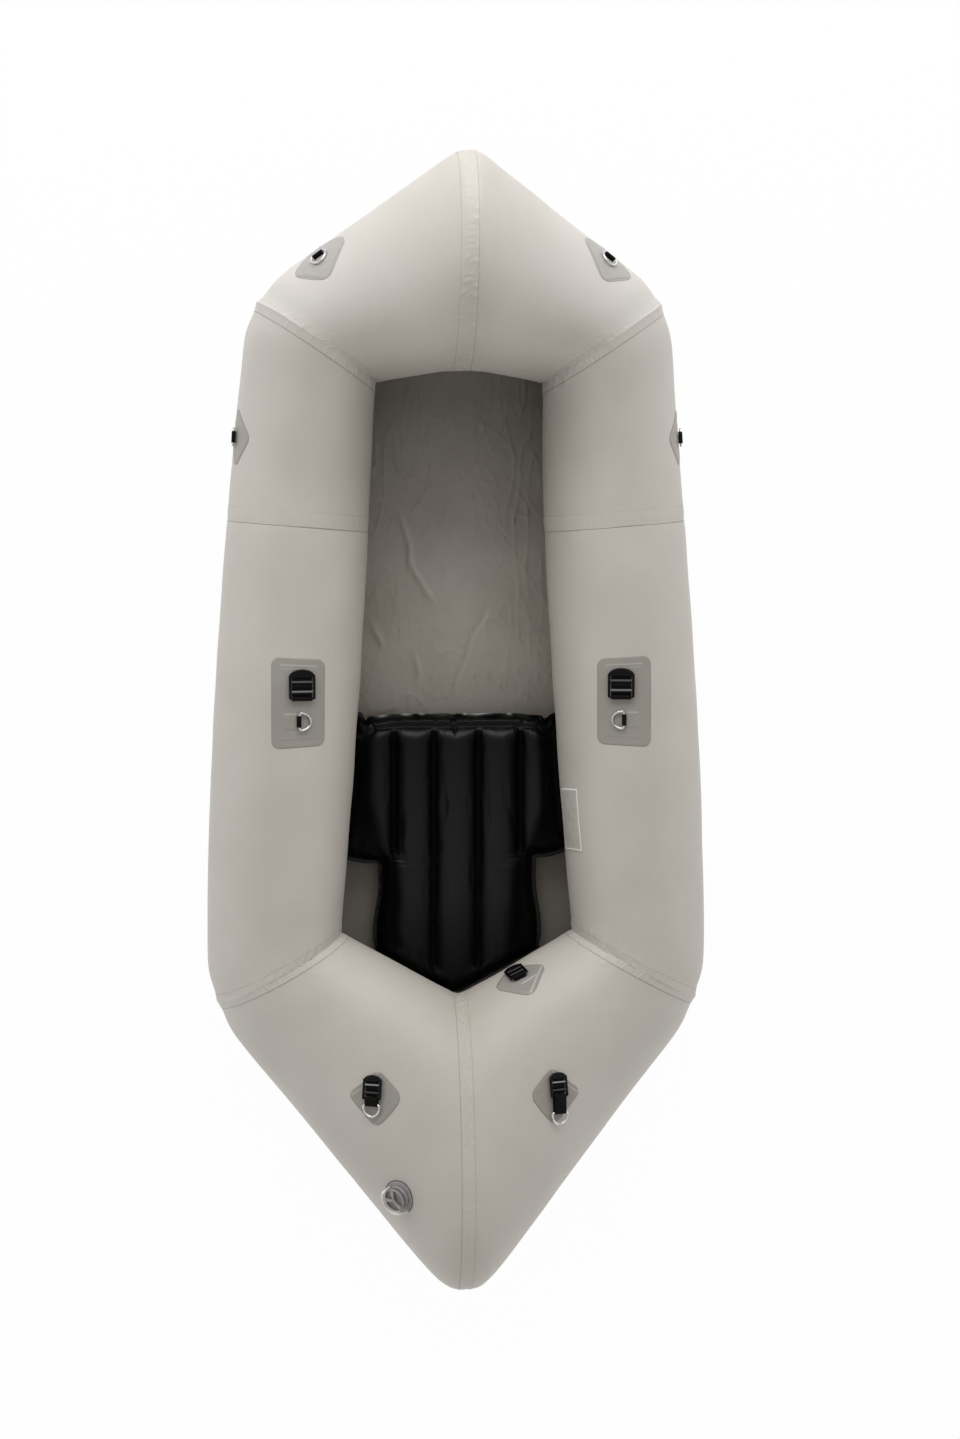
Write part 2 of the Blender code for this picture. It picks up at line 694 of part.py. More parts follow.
def seat_rows():
    """Shares of the rows, close together at the edges and the shoulders."""
    edge = SEAT_EDGE_ROUND / SEAT_WING_LENGTH
    shoulder = SEAT_SHOULDER / SEAT_WING_LENGTH
    wing = [0, edge * 0.12, edge * 0.4, edge * 0.85]
    wing += list(np.linspace(edge * 1.7, 1 - shoulder * 1.5, 5))
    wing += [1 - shoulder, 1 - shoulder * 0.7, 1 - shoulder * 0.42, 1 - shoulder * 0.2,
             1 - shoulder * 0.06, 1]
    tail_length = SEAT_FRONT_Y - SEAT_WING_LENGTH - (STERN_NOTCH_Y - SEAT_TAIL_TUCK)
    tail_edge = SEAT_EDGE_ROUND / tail_length
    tail = [1 + tail_edge * 0.5]
    tail += list(np.linspace(1 + tail_edge * 1.5, 2 - tail_edge * 1.7, 4))
    tail += [2 - tail_edge * 0.85, 2 - tail_edge * 0.4, 2 - tail_edge * 0.12, 2]
    return wing + tail


def seat_columns(half):
    """X of the columns for one row, with a column on every weld."""
    inner = SEAT_INNER_WELD_X
    outer = SEAT_OUTER_WELD_X
    right = [inner * share for share in (0.5, 1)]
    right += [blend(inner, outer, share) for share in (0.25, 0.5, 0.75, 1)]
    right += [blend(outer, half, share) for share in (0.3, 0.6, 0.8, 0.93, 1)]
    return [-x for x in reversed(right)] + [0] + right


def seat_tail_end(x):
    """Y of the tail's end: the line of the stern tubes, tucked under them."""
    end = cockpit_x(COCKPIT_REAR_Y)
    notch = -rounded_vee(abs(x), -STERN_NOTCH_Y, end, -COCKPIT_REAR_Y, STERN_NOTCH_ROUNDING)
    return notch - SEAT_TAIL_TUCK


def seat_place(share, x):
    """Y of a point of the pad."""
    wing_rear = SEAT_FRONT_Y - SEAT_WING_LENGTH
    if share <= 1:
        half = seat_outline_half(0)
        front = SEAT_FRONT_Y - SEAT_DRAW_IN * (1 - min(abs(x) / half, 1) ** 2)
        return blend(front, wing_rear, share)
    return blend(wing_rear, seat_tail_end(x), share - 1)


def seat_edge_distance(place, outline):
    """Distance from a place of the pad to its outline."""
    starts = outline
    ends = np.roll(outline, -1, axis=0)
    runs = ends - starts
    lengths = np.maximum(np.sum(runs ** 2, axis=1), TOUCH_GAP ** 2)
    parts = np.clip(np.sum((place - starts) * runs, axis=1) / lengths, 0, 1)
    nearest = starts + runs * parts[:, None]
    return float(np.min(np.linalg.norm(nearest - place, axis=1)))


def seat_weld_share(x, distance):
    """How far the welds draw the pad's faces together at x."""
    welds = (-SEAT_OUTER_WELD_X, -SEAT_INNER_WELD_X, SEAT_INNER_WELD_X, SEAT_OUTER_WELD_X)
    gap = SEAT_OUTER_WELD_X - SEAT_INNER_WELD_X
    nearest = min(abs(x - weld) for weld in welds)
    round_share = min(nearest / (gap / 2), 1)
    valley = 1 - math.sqrt(1 - (1 - round_share) ** 2)
    return SEAT_WELD_DEPTH_SHARE * valley * min(distance / SEAT_WELD_FADE, 1)


def build_seat():
    """The inflated seat pad: a T of five lengthwise channels with a welded rim."""
    grid = []
    for share in seat_rows():
        half = seat_outline_half(share)
        grid.append([(x, seat_place(share, x)) for x in seat_columns(half)])
    grid = np.array(grid)
    rows, columns = grid.shape[0], grid.shape[1]
    outline = np.vstack((grid[0], grid[1:, -1], grid[-1, -2::-1], grid[-2:0:-1, 0]))
    upper, lower = [], []
    wing_rear = SEAT_FRONT_Y - SEAT_WING_LENGTH
    for row in range(rows):
        for column in range(columns):
            x, y = grid[row, column]
            on_rim = row in (0, rows - 1) or column in (0, columns - 1)
            distance = 0 if on_rim else seat_edge_distance(grid[row, column], outline)
            share = min(distance / SEAT_EDGE_ROUND, 1)
            crown = math.sqrt(1 - (1 - share) ** 2)
            back = min(max((wing_rear - y) / (wing_rear - STERN_NOTCH_Y), 0), 1)
            thickness = blend(SEAT_THICKNESS, SEAT_TAIL_THICKNESS, back)
            seam = thickness * SEAT_SEAM_SHARE
            base = floor_line(y) + FLOOR_THICKNESS + SEAT_FLOOR_GAP
            full = (thickness - seam) * (1 - seat_weld_share(x, distance))
            upper.append((x, y, base + seam + full * crown))
            lower.append((x, y, base + seam * (1 - crown)))
    points, faces = doubled_grid((upper, lower), rows, columns)
    faces = [face for face in faces if len(set(face)) > 2]
    return add_solid("seat_pad", points, faces, "seat_fabric", smooth=60)


# Patches

def rounded_polygon(corners, radius, steps):
    """Corner points of a convex polygon with every corner an arc."""
    points = []
    count = len(corners)
    for index in range(count):
        corner = np.array(corners[index])
        before = np.array(corners[index - 1]) - corner
        after = np.array(corners[(index + 1) % count]) - corner
        before /= np.linalg.norm(before)
        after /= np.linalg.norm(after)
        half = math.acos(max(min(np.dot(before, after), 1), -1)) / 2
        middle = (before + after) / np.linalg.norm(before + after)
        centre = corner + middle * radius / math.sin(half)
        start = corner + before * radius / math.tan(half) - centre
        end = corner + after * radius / math.tan(half) - centre
        sweep = math.pi - 2 * half
        turn = math.copysign(1, start[0] * end[1] - start[1] * end[0])
        for step in range(steps + 1):
            angle = turn * sweep * step / steps
            rotated = (start[0] * math.cos(angle) - start[1] * math.sin(angle),
                       start[0] * math.sin(angle) + start[1] * math.cos(angle))
            points.append(centre + np.array(rotated))
    return np.array(points)


def with_middles(outline, longest):
    """The outline with points added wherever two lie further apart than longest."""
    points = []
    for here, following in zip(outline, np.roll(outline, -1, axis=0)):
        parts = max(int(math.ceil(np.linalg.norm(following - here) / longest)), 1)
        points += [blend(here, following, part / parts) for part in range(parts)]
    return np.array(points)


def laid_sheet(name, place, outline, ring_shares, thickness, slot):
    """A sheet cut to an outline and laid on the skin: rings of points from rim to middle."""
    count = len(outline)
    layers = []
    for offset in (SKIN_GAP + thickness, SKIN_GAP):
        layer = []
        for share in ring_shares:
            layer += [place.locate(u * share, v * share, offset) for u, v in outline]
        layers.append(layer)
    middle_open = ring_shares[-1] > 0
    if not middle_open:
        for layer, offset in zip(layers, (SKIN_GAP + thickness, SKIN_GAP)):
            del layer[(len(ring_shares) - 1) * count:]
            layer.append(place.locate(0, 0, offset))
    points = layers[0] + layers[1]
    lower = len(layers[0])
    rings = len(ring_shares) if middle_open else len(ring_shares) - 1
    faces = []
    for step in range(count):
        after = (step + 1) % count
        for ring in range(rings - 1):
            quad = (ring * count + step, ring * count + after,
                    (ring + 1) * count + after, (ring + 1) * count + step)
            faces.append(quad)
            faces.append(tuple(lower + index for index in reversed(quad)))
        faces.append((step, after, lower + after, lower + step))
        last = (rings - 1) * count
        if middle_open:
            faces.append((last + step, last + after, lower + last + after, lower + last + step))
        else:
            faces.append((last + step, last + after, lower - 1))
            faces.append((lower + last + after, lower + last + step, 2 * lower - 1))
    return add_solid(name, points, faces, slot)


def diamond_outline(side):
    """A square stood on its corner."""
    reach = side / math.sqrt(2)
    corners = ((reach, 0), (0, reach), (-reach, 0), (0, -reach))
    return with_middles(rounded_polygon(corners, DIAMOND_CORNER, 2), side / DIAMOND_PARTS)


def side_patch_outline():
    """The oblong side patch, its length along u."""
    half_length = SIDE_PATCH_LENGTH / 2
    half_width = SIDE_PATCH_WIDTH / 2
    corners = ((half_length, half_width), (-half_length, half_width),
               (-half_length, -half_width), (half_length, -half_width))
    return with_middles(rounded_polygon(corners, SIDE_PATCH_CORNER, 2), SIDE_PATCH_WIDTH / 6)


def build_patch(name, place, outline):
    """One fabric patch."""
    return laid_sheet(name, place, outline, PATCH_RING_SHARES, PATCH_THICKNESS, "patch_fabric")


# Rings, tabs and buckles, each in a frame with Z off the skin and Y along its bar

def eye_inner(bar_reach):
    """Inside radius of a webbing eye round a bar of this reach."""
    return bar_reach + EYE_CLEARANCE


def eye_height(bar_reach):
    """Height of a bar above the patch when its eye sits on the patch."""
    return TOUCH_GAP + WEBBING_THICKNESS + eye_inner(bar_reach)


def circle(radius, x, steps=14):
    """A circle in local X and Z, centred on the X axis."""
    turns = [2 * math.pi * (step + 0.5) / steps for step in range(steps)]
    return [(x + radius * math.cos(turn), radius * math.sin(turn)) for turn in turns]


def eye_outline(bar_reach, x):
    """The outside of a webbing eye, flattened to a foot on the patch."""
    outer = eye_inner(bar_reach) + WEBBING_THICKNESS
    points = []
    for px, pz in circle(outer, 0):
        if pz < -outer / 2:
            points.append((x + px * TAB_FOOT / 2 / outer * math.sqrt(2), -outer))
        else:
            points.append((x + px, pz))
    return points


def build_tab(name, matrix, bar_reach, width):
    """A short webbing tab: an eye round one bar."""
    hole = circle(eye_inner(bar_reach), 0)
    return plate(name, eye_outline(bar_reach, 0), [hole], width, "webbing", matrix)


def build_double_tab(name, matrix, reaches, ring_centre, underside):
    """A strap with an eye round the buckle's bar and another round the ring's bar."""
    ring_x, ring_z = ring_centre
    outer_buckle = eye_inner(reaches[0]) + WEBBING_THICKNESS
    outer_ring = eye_inner(reaches[1]) + WEBBING_THICKNESS
    steps = 8
    outline = []
    for step in range(steps + 1):
        turn = math.pi / 2 - math.pi * step / steps
        outline.append((outer_buckle * math.cos(turn), outer_buckle * math.sin(turn)))
    outline += underside
    for step in range(steps + 1):
        turn = -math.pi / 2 - math.pi * step / steps
        outline.append((ring_x + outer_ring * math.cos(turn), ring_z + outer_ring * math.sin(turn)))
    holes = [circle(eye_inner(reaches[0]), 0)]
    holes.append([(x, z + ring_z) for x, z in circle(eye_inner(reaches[1]), ring_x)])
    return plate(name, outline, holes, WEBBING_WIDTH, "webbing", matrix)


def ring_path():
    """Centre line of a D ring in local X and Y, its bar on the Y axis."""
    half_span = (RING_SPAN - RING_WIRE) / 2
    reach = RING_DEPTH - RING_WIRE / 2
    bar_half = half_span - RING_CORNER
    path = [(0, -bar_half), (0, bar_half)]
    path.append((RING_CORNER * (1 - math.sqrt(0.5)), bar_half + RING_CORNER * math.sqrt(0.5)))
    arc_steps = 10
    for step in range(arc_steps + 1):
        turn = math.pi / 2 - math.pi * step / arc_steps
        path.append((RING_CORNER + (reach - RING_CORNER) * math.cos(turn), half_span * math.sin(turn)))
    path.append((RING_CORNER * (1 - math.sqrt(0.5)), -bar_half - RING_CORNER * math.sqrt(0.5)))
    return [np.array((x, y, 0)) for x, y in path]


def build_ring(name, matrix):
    """A steel D ring whose bar lies on the local Y axis."""
    path = ring_path()
    frames = []
    for index, here in enumerate(path):
        before = here - path[index - 1]
        after = path[(index + 1) % len(path)] - here
        run = before / np.linalg.norm(before) + after / np.linalg.norm(after)
        run /= np.linalg.norm(run)
        over = np.array((0, 0, 1))
        bend = before / np.linalg.norm(before)
        across = np.cross(over, run) / max(np.dot(run, bend), 0.5)
        frames.append((across, over))
    points, faces = swept(path, frames, round_section(RING_WIRE, 6), True)
    return add_solid(name, points, faces, "ring_steel", matrix, smooth=60)


def box_loop(low_x, high_x, half_y):
    """A rectangle in plan."""
    return [(low_x, -half_y), (high_x, -half_y), (high_x, half_y), (low_x, half_y)]


def build_buckle(name, matrix, webbing_width, length):
    """A ladder buckle lying along +X from its end bar, which is on the local Y axis."""
    half = webbing_width / 2 + BUCKLE_SLOT_SPARE + BUCKLE_RAIL
    slot_half = webbing_width / 2 + BUCKLE_SLOT_SPARE
    back = -BUCKLE_END_BAR / 2
    tab_start = length * (1 - BUCKLE_TAB_SHARE)
    outline = [(back, -half)]
    arc_steps = 10
    for step in range(arc_steps + 1):
        turn = -math.pi / 2 + math.pi * step / arc_steps
        x = back + tab_start + (length - tab_start) * math.cos(turn)
        outline.append((x, half * math.sin(turn)))
    outline.append((back, half))
    ladder_start = BUCKLE_END_BAR / 2 + BUCKLE_EYE_SLOT
    ladder = back + length - ladder_start
    holes = [box_loop(BUCKLE_END_BAR / 2, ladder_start, slot_half)]
    for low, high in BUCKLE_SLOT_SHARES:
        holes.append(box_loop(ladder_start + ladder * low, ladder_start + ladder * high, slot_half))
    turned_flat = Matrix.Rotation(-math.pi / 2, 4, "X")
    flat = plate(name, [(x, -y) for x, y in outline], [[(x, -y) for x, y in hole] for hole in holes],
                 BUCKLE_THICKNESS, "buckle_plastic", None)
    flat.data.transform(turned_flat)
    flat.matrix_world = matrix
    return flat


def tilted(matrix, degrees):
    """The frame turned about its own Y axis, +X dipping towards the skin."""
    return matrix @ Matrix.Rotation(math.radians(degrees), 4, "Y")


class Mounting:
    """A bar's place above a patch, in a frame with Z off the skin and Y along the bar."""

    def __init__(self, place, spot, heading, height):
        self.place = place
        self.spot = np.array(spot)
        self.heading = np.array(heading)
        self.aside = np.array((-heading[1], heading[0]))
        self.frame = place.matrix(spot[0], spot[1], PATCH_TOP + height, heading)

    def surface(self, x, half_width):
        """Highest local Z of the patch at a distance along the heading."""
        heights = []
        for side in (-1, -0.5, 0, 0.5, 1):
            u, v = self.spot + self.heading * x + self.aside * half_width * side
            spot = self.place.locate(u, v, PATCH_TOP)
            heights.append((self.frame.inverted() @ Vector(spot)).z)
        return max(heights)

    def resting_tilt(self, start, reach, half_width, half_thickness):
        """Degrees that a flat piece dips from its bar until it meets the patch."""
        angles = []
        for x in np.linspace(start, reach, 8):
            z = self.surface(x, half_width)
            away = math.hypot(x, z)
            clear = min((half_thickness + TOUCH_GAP) / away, 1)
            angles.append(-math.atan2(z, x) - math.asin(clear))
        return math.degrees(min(angles))


def build_ring_fitting(label, place, spot, heading):
    """A tab and its ring on a patch."""
    reach = RING_WIRE / 2
    mounting = Mounting(place, spot, heading, eye_height(reach))
    build_tab(tab_name(label), mounting.frame, reach, WEBBING_WIDTH)
    tilt = mounting.resting_tilt(RING_WIRE, RING_DEPTH - RING_WIRE / 2, RING_SPAN / 2, RING_WIRE / 2)
    build_ring(ring_name(label), tilted(mounting.frame, tilt))


def tab_name(label):
    """Node name of the webbing tab of a ring."""
    area, side = label
    return area + "_ring_tab_" + side


def ring_name(label):
    """Node name of a ring."""
    area, side = label
    return area + "_ring_" + side


def buckle_bar_reach():
    """Distance from the centre of a buckle's end bar to its corner."""
    return math.hypot(BUCKLE_END_BAR, BUCKLE_THICKNESS) / 2


def buckle_tilt(mounting, webbing_width, length):
    """Degrees that a buckle dips to lie on the patch."""
    half = webbing_width / 2 + BUCKLE_SLOT_SPARE + BUCKLE_RAIL
    tip = length - BUCKLE_END_BAR / 2
    return mounting.resting_tilt(BUCKLE_END_BAR, tip, half, BUCKLE_THICKNESS / 2)


def build_buckle_fitting(area, side, place, spot, heading, webbing_width, length):
    """A tab and its buckle on a patch."""
    reach = buckle_bar_reach()
    mounting = Mounting(place, spot, heading, eye_height(reach))
    build_tab(area + "_buckle_tab_" + side, mounting.frame, reach, webbing_width)
    tilt = buckle_tilt(mounting, webbing_width, length)
    build_buckle(area + "_buckle_" + side, tilted(mounting.frame, tilt), webbing_width, length)


def build_stern_fitting(side, place, strap_length, outboard):
    """The stern strap with its buckle forward and its ring behind."""
    buckle_reach = buckle_bar_reach()
    ring_reach = RING_WIRE / 2
    spot = (-STERN_BUCKLE_BACK, outboard * STERN_BUCKLE_OUT)
    mounting = Mounting(place, spot, (1, 0), eye_height(buckle_reach))
    frame = mounting.frame
    ring_x = -strap_length
    ring_z = mounting.surface(ring_x, WEBBING_WIDTH / 2) + eye_height(ring_reach)
    underside = []
    for x in np.linspace(0, ring_x, 6)[1:-1]:
        underside.append((x, mounting.surface(x, WEBBING_WIDTH / 2) + TOUCH_GAP))
    build_double_tab("stern_strap_" + side, frame, (buckle_reach, ring_reach), (ring_x, ring_z),
                     underside)
    tilt = buckle_tilt(mounting, WEBBING_WIDTH, BUCKLE_LENGTH)
    build_buckle("stern_buckle_" + side, tilted(frame, tilt), WEBBING_WIDTH, BUCKLE_LENGTH)
    ring_spot = (spot[0] + ring_x, spot[1])
    resting = Mounting(place, ring_spot, (-1, 0), eye_height(ring_reach))
    resting.frame = frame @ Matrix.Translation((ring_x, 0, ring_z)) @ Matrix.Rotation(math.pi, 4, "Z")
    tilt = resting.resting_tilt(RING_WIRE, RING_DEPTH - RING_WIRE / 2, RING_SPAN / 2, RING_WIRE / 2)
    build_ring("stern_ring_" + side, tilted(resting.frame, tilt))


def panel_heading(panel, share):
    """Plan direction of a panel, towards the bow."""
    ahead = panel.point(share, math.pi / 2) - panel.point(min(share + 0.2, 1), math.pi / 2)
    if ahead[1] < 0:
        ahead = -ahead
    return ahead[0], ahead[1]


def build_fittings(panels):
    """Every patch with what it carries."""
    for side in ("left", "right"):
        inboard = -1 if side == "left" else 1
        bow = panels["bow_tube_" + side]
        place = SkinPlace(bow, BOW_PATCH_SHARE, BOW_PATCH_LEAN, panel_heading(bow, BOW_PATCH_SHARE))
        build_patch("bow_patch_" + side, place, diamond_outline(BOW_DIAMOND_SIDE))
        build_ring_fitting(("bow", side), place, (0, -inboard * BOW_RING_OUT), (0, inboard))
        front = panels["side_front_tube_" + side]
        place = SkinPlace(front, FRONT_PATCH_SHARE, FRONT_PATCH_LEAN, (0, 1))
        build_patch("front_patch_" + side, place, diamond_outline(FRONT_DIAMOND_SIDE))
        build_ring_fitting(("front", side), place, (0, -inboard * FRONT_RING_OUT), (0, -inboard))
        rear = panels["side_rear_tube_" + side]
        place = SkinPlace(rear, SIDE_PATCH_SHARE, SIDE_PATCH_LEAN, (0, 1))
        build_patch("side_patch_" + side, place, side_patch_outline())
        build_buckle_fitting("side", side, place, (SIDE_BUCKLE_AHEAD, inboard * SIDE_BUCKLE_INBOARD),
                             (1, 0), WIDE_WEBBING_WIDTH, WIDE_BUCKLE_LENGTH)
        build_ring_fitting(("side", side), place, (-SIDE_RING_BACK, 0), (0, inboard))
        stern = panels["stern_tube_" + side]
        place = SkinPlace(stern, STERN_PATCH_SHARE, STERN_PATCH_LEAN, (0, 1))
        build_patch("stern_patch_" + side, place, diamond_outline(STERN_DIAMOND_SIDE))
        strap = STERN_STRAP_LEFT if side == "left" else STERN_STRAP_RIGHT
        build_stern_fitting(side, place, strap, -inboard)
    stern = panels["stern_tube_right"]
    place = SkinPlace(stern, BACK_PATCH_SHARE, BACK_PATCH_LEAN, panel_heading(stern, BACK_PATCH_SHARE))
    build_patch("back_patch_right", place, diamond_outline(STERN_DIAMOND_SIDE))
    build_buckle_fitting("back", "right", place, (0, -BACK_BUCKLE_UP), (0, 1), WEBBING_WIDTH,
                         BUCKLE_LENGTH)


# Main valve

def build_flange(place):
    """The valve's welded flange, laid on the skin round its body."""
    outline = np.array([(FLANGE_DIAMETER / 2 * math.cos(2 * math.pi * step / TURN_STEPS),
                         FLANGE_DIAMETER / 2 * math.sin(2 * math.pi * step / TURN_STEPS))
                        for step in range(TURN_STEPS)])
    hole = (VALVE_BODY_DIAMETER + 8 * TOUCH_GAP) / FLANGE_DIAMETER
    return laid_sheet("valve_flange", place, outline, (1, (1 + hole) / 2, hole), FLANGE_THICKNESS,
                      "valve_plastic")


def build_valve_base(matrix):
    """The valve's moulded body: rim, bore and the guide that carries the stem."""
    rim = VALVE_RIM_DIAMETER / 2
    body = VALVE_BODY_DIAMETER / 2
    bore = VALVE_BORE / 2
    guide = VALVE_GUIDE_BORE / 2
    profile = [
        (body, -VALVE_BODY_DEPTH), (body, 0), (rim, 0), (rim, VALVE_RIM_HEIGHT),
        (bore, VALVE_RIM_HEIGHT), (bore, -VALVE_GUIDE_DEPTH), (guide, -VALVE_GUIDE_DEPTH),
        (guide, -VALVE_GUIDE_DEPTH - VALVE_GUIDE_THICKNESS),
        (bore, -VALVE_GUIDE_DEPTH - VALVE_GUIDE_THICKNESS), (bore, -VALVE_BODY_DEPTH),
    ]
    return turned("valve_base", profile, "valve_plastic", matrix)


def build_plunger(matrix):
    """The stem with its closing disc below and its button above."""
    stem = VALVE_STEM_DIAMETER / 2
    disc = VALVE_DISC_DIAMETER / 2
    button = VALVE_BUTTON_DIAMETER / 2
    seat = -VALVE_BODY_DEPTH - TOUCH_GAP
    top = -VALVE_BUTTON_THICKNESS
    profile = [
        (0, seat - VALVE_DISC_THICKNESS), (disc, seat - VALVE_DISC_THICKNESS), (disc, seat),
        (stem, seat), (stem, top - VALVE_BUTTON_THICKNESS), (button, top - VALVE_BUTTON_THICKNESS),
        (button, top), (0, top),
    ]
    return turned("valve_plunger", profile, "valve_plastic", matrix, 16)


def build_spring(matrix):
    """The coil that lifts the plunger, between the guide and the button."""
    radius = SPRING_DIAMETER / 2
    low = -VALVE_GUIDE_DEPTH + TOUCH_GAP + SPRING_WIRE / 2
    high = -2 * VALVE_BUTTON_THICKNESS - TOUCH_GAP - SPRING_WIRE / 2
    count = int(SPRING_TURNS * SPRING_STEPS)
    path, frames = [], []
    for step in range(count + 1):
        turn = 2 * math.pi * SPRING_TURNS * step / count
        outward = np.array((math.cos(turn), math.sin(turn), 0))
        path.append(outward * radius + np.array((0, 0, blend(low, high, step / count))))
        frames.append((outward, np.array((0, 0, 1))))
    points, faces = swept(path, frames, round_section(SPRING_WIRE, 5), False)
    return add_solid("valve_spring", points, faces, "spring_steel", matrix, smooth=80)


def build_seal(matrix):
    """The ring that seals the cap on the rim."""
    middle = VALVE_RIM_HEIGHT + TOUCH_GAP + SEAL_WIRE / 2
    profile = [(SEAL_DIAMETER / 2 + u, middle + v) for u, v in round_section(SEAL_WIRE, 8)]
    return turned("valve_seal", profile, "seal_rubber", matrix)


def build_cap(matrix):
    """The screw cap: a plug in the bore, a skirt over the seal and a three-lobed grip."""
    cap = CAP_DIAMETER / 2
    plug = VALVE_BORE / 2 - TOUCH_GAP
    inner_face = VALVE_RIM_HEIGHT + 2 * TOUCH_GAP + SEAL_WIRE
    groove = SEAL_DIAMETER / 2 - SEAL_WIRE / 2 - TOUCH_GAP
    rings = []
    levels = (
        (plug, VALVE_RIM_HEIGHT - VALVE_PLUG_DEPTH, 0),
        (plug, VALVE_RIM_HEIGHT + TOUCH_GAP, 0),
        (groove, VALVE_RIM_HEIGHT + TOUCH_GAP, 0),
        (groove, inner_face, 0),
        (cap, inner_face, 0),
        (cap, inner_face + CAP_SKIRT, 0),
        (CAP_GRIP_DIAMETER / 2, inner_face + CAP_SKIRT, CAP_LOBE),
        (CAP_GRIP_DIAMETER / 2 - CAP_LOBE, inner_face + CAP_SKIRT + CAP_GRIP_HEIGHT, CAP_LOBE),
    )
    for radius, height, lobe in levels:
        ring = []
        for step in range(TURN_STEPS):
            turn = 2 * math.pi * step / TURN_STEPS
            reach = radius - lobe + lobe * math.cos(3 * turn)
            ring.append((reach * math.cos(turn), reach * math.sin(turn), height))
        rings.append(np.array(ring))
    points, faces = lofted(rings)
    return add_solid("valve_cap", points, faces, "valve_plastic", matrix, smooth=30)


def build_tether(matrix):
    """The cap's leash: a strip that stands round the rim for part of a turn."""
    radius = VALVE_RIM_DIAMETER / 2 + TETHER_CLEARANCE + TETHER_THICKNESS / 2
    low = (VALVE_RIM_HEIGHT - TETHER_WIDTH) / 2 + TETHER_WIDTH / 2
    steps = 16
    path, frames = [], []
    for step in range(steps + 1):
        turn = math.radians(TETHER_START + TETHER_SWEEP * step / steps)
        outward = np.array((math.cos(turn), math.sin(turn), 0))
        path.append(outward * radius + np.array((0, 0, low)))
        frames.append((outward, np.array((0, 0, 1))))
    half_t = TETHER_THICKNESS / 2
    half_w = TETHER_WIDTH / 2
    section = [(-half_t, -half_w), (half_t, -half_w), (half_t, half_w), (-half_t, half_w)]
    points, faces = swept(path, frames, section, False)
    return add_solid("valve_tether", points, faces, "tether_plastic", matrix)


def cut_valve_hole(tube, matrix):
    """Cut the hole in the fabric that the valve's body stands in."""
    radius = VALVE_BODY_DIAMETER / 2 + TOUCH_GAP
    profile = [(0, -VALVE_BODY_DEPTH), (radius, -VALVE_BODY_DEPTH), (radius, VALVE_RIM_HEIGHT),
               (0, VALVE_RIM_HEIGHT)]
    cutter = turned("valve_hole_cutter", profile, "hull_fabric", matrix)
    cutter.hide_render = True
    cutter.display_type = "WIRE"
    cut = tube.modifiers.new("valve_hole", "BOOLEAN")
    cut.operation = "DIFFERENCE"
    cut.solver = "EXACT"
    cut.object = cutter


def build_main_valve(panels, tubes):
    """The inflation valve, through the fabric of the left stern panel."""
    panel = panels["stern_tube_left"]
    place = SkinPlace(panel, VALVE_SHARE, VALVE_LEAN, panel_heading(panel, VALVE_SHARE))
    flange_top = SKIN_GAP + FLANGE_THICKNESS
    matrix = place.matrix(0, 0, flange_top + TOUCH_GAP, (1, 0))
    build_flange(place)
    build_valve_base(matrix)
    build_plunger(matrix)
    build_spring(matrix)
    build_seal(matrix)
    build_cap(matrix)
    build_tether(matrix)
    cut_valve_hole(tubes["stern_tube_left"], matrix)


def build_seat_valve():
    """The pad's twist valve, on the end of its tail."""
    end_y = seat_tail_end(SEAT_VALVE_X)
    thickness = SEAT_TAIL_THICKNESS
    height = floor_line(end_y) + FLOOR_THICKNESS + SEAT_FLOOR_GAP + thickness * SEAT_SEAM_SHARE
    face = Matrix.Translation((SEAT_VALVE_X, end_y + TOUCH_GAP, height))
    backwards = Matrix.Rotation(math.pi / 2, 4, "X")
    matrix = face @ backwards
    stem = SEAT_VALVE_STEM / 2
    bore = SEAT_VALVE_BORE / 2
    base = [(bore, 0), (stem, 0), (stem, SEAT_VALVE_LENGTH), (bore, SEAT_VALVE_LENGTH)]
    turned("seat_valve_base", base, "valve_plastic", matrix, 16)
    knob = SEAT_KNOB_DIAMETER / 2
    start = SEAT_VALVE_LENGTH + TOUCH_GAP
    plug = bore - TOUCH_GAP
    profile = [(0, start - SEAT_KNOB_LENGTH / 2), (plug, start - SEAT_KNOB_LENGTH / 2), (plug, start),
               (knob, start), (knob, start + SEAT_KNOB_LENGTH), (0, start + SEAT_KNOB_LENGTH)]
    turned("seat_valve_knob", profile, "valve_plastic", matrix, 16)


def main():
    """Build the whole boat."""
    clear_scene()
    panels = make_panels()
    tubes = {name: build_tube(name, panel) for name, panel in panels.items()}
    build_tapes(panels)
    build_floor(panels)
    build_seat()
    build_seat_valve()
    build_fittings(panels)
    build_main_valve(panels, tubes)


main()
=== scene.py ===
"""One-person packraft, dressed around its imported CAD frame, in metres, bow towards +Y.

The skin of every tube panel is worked out here from the same plan and profile as the
solids, so tapes, patches and fittings lie on it. Rings, buckles and the valve take
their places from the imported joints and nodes.
"""

import json
import logging
import math
from dataclasses import dataclass
from enum import Enum
from functools import reduce
from typing import Any, Optional, Sequence, Union

import bpy
import numpy as np
from mathutils import Matrix


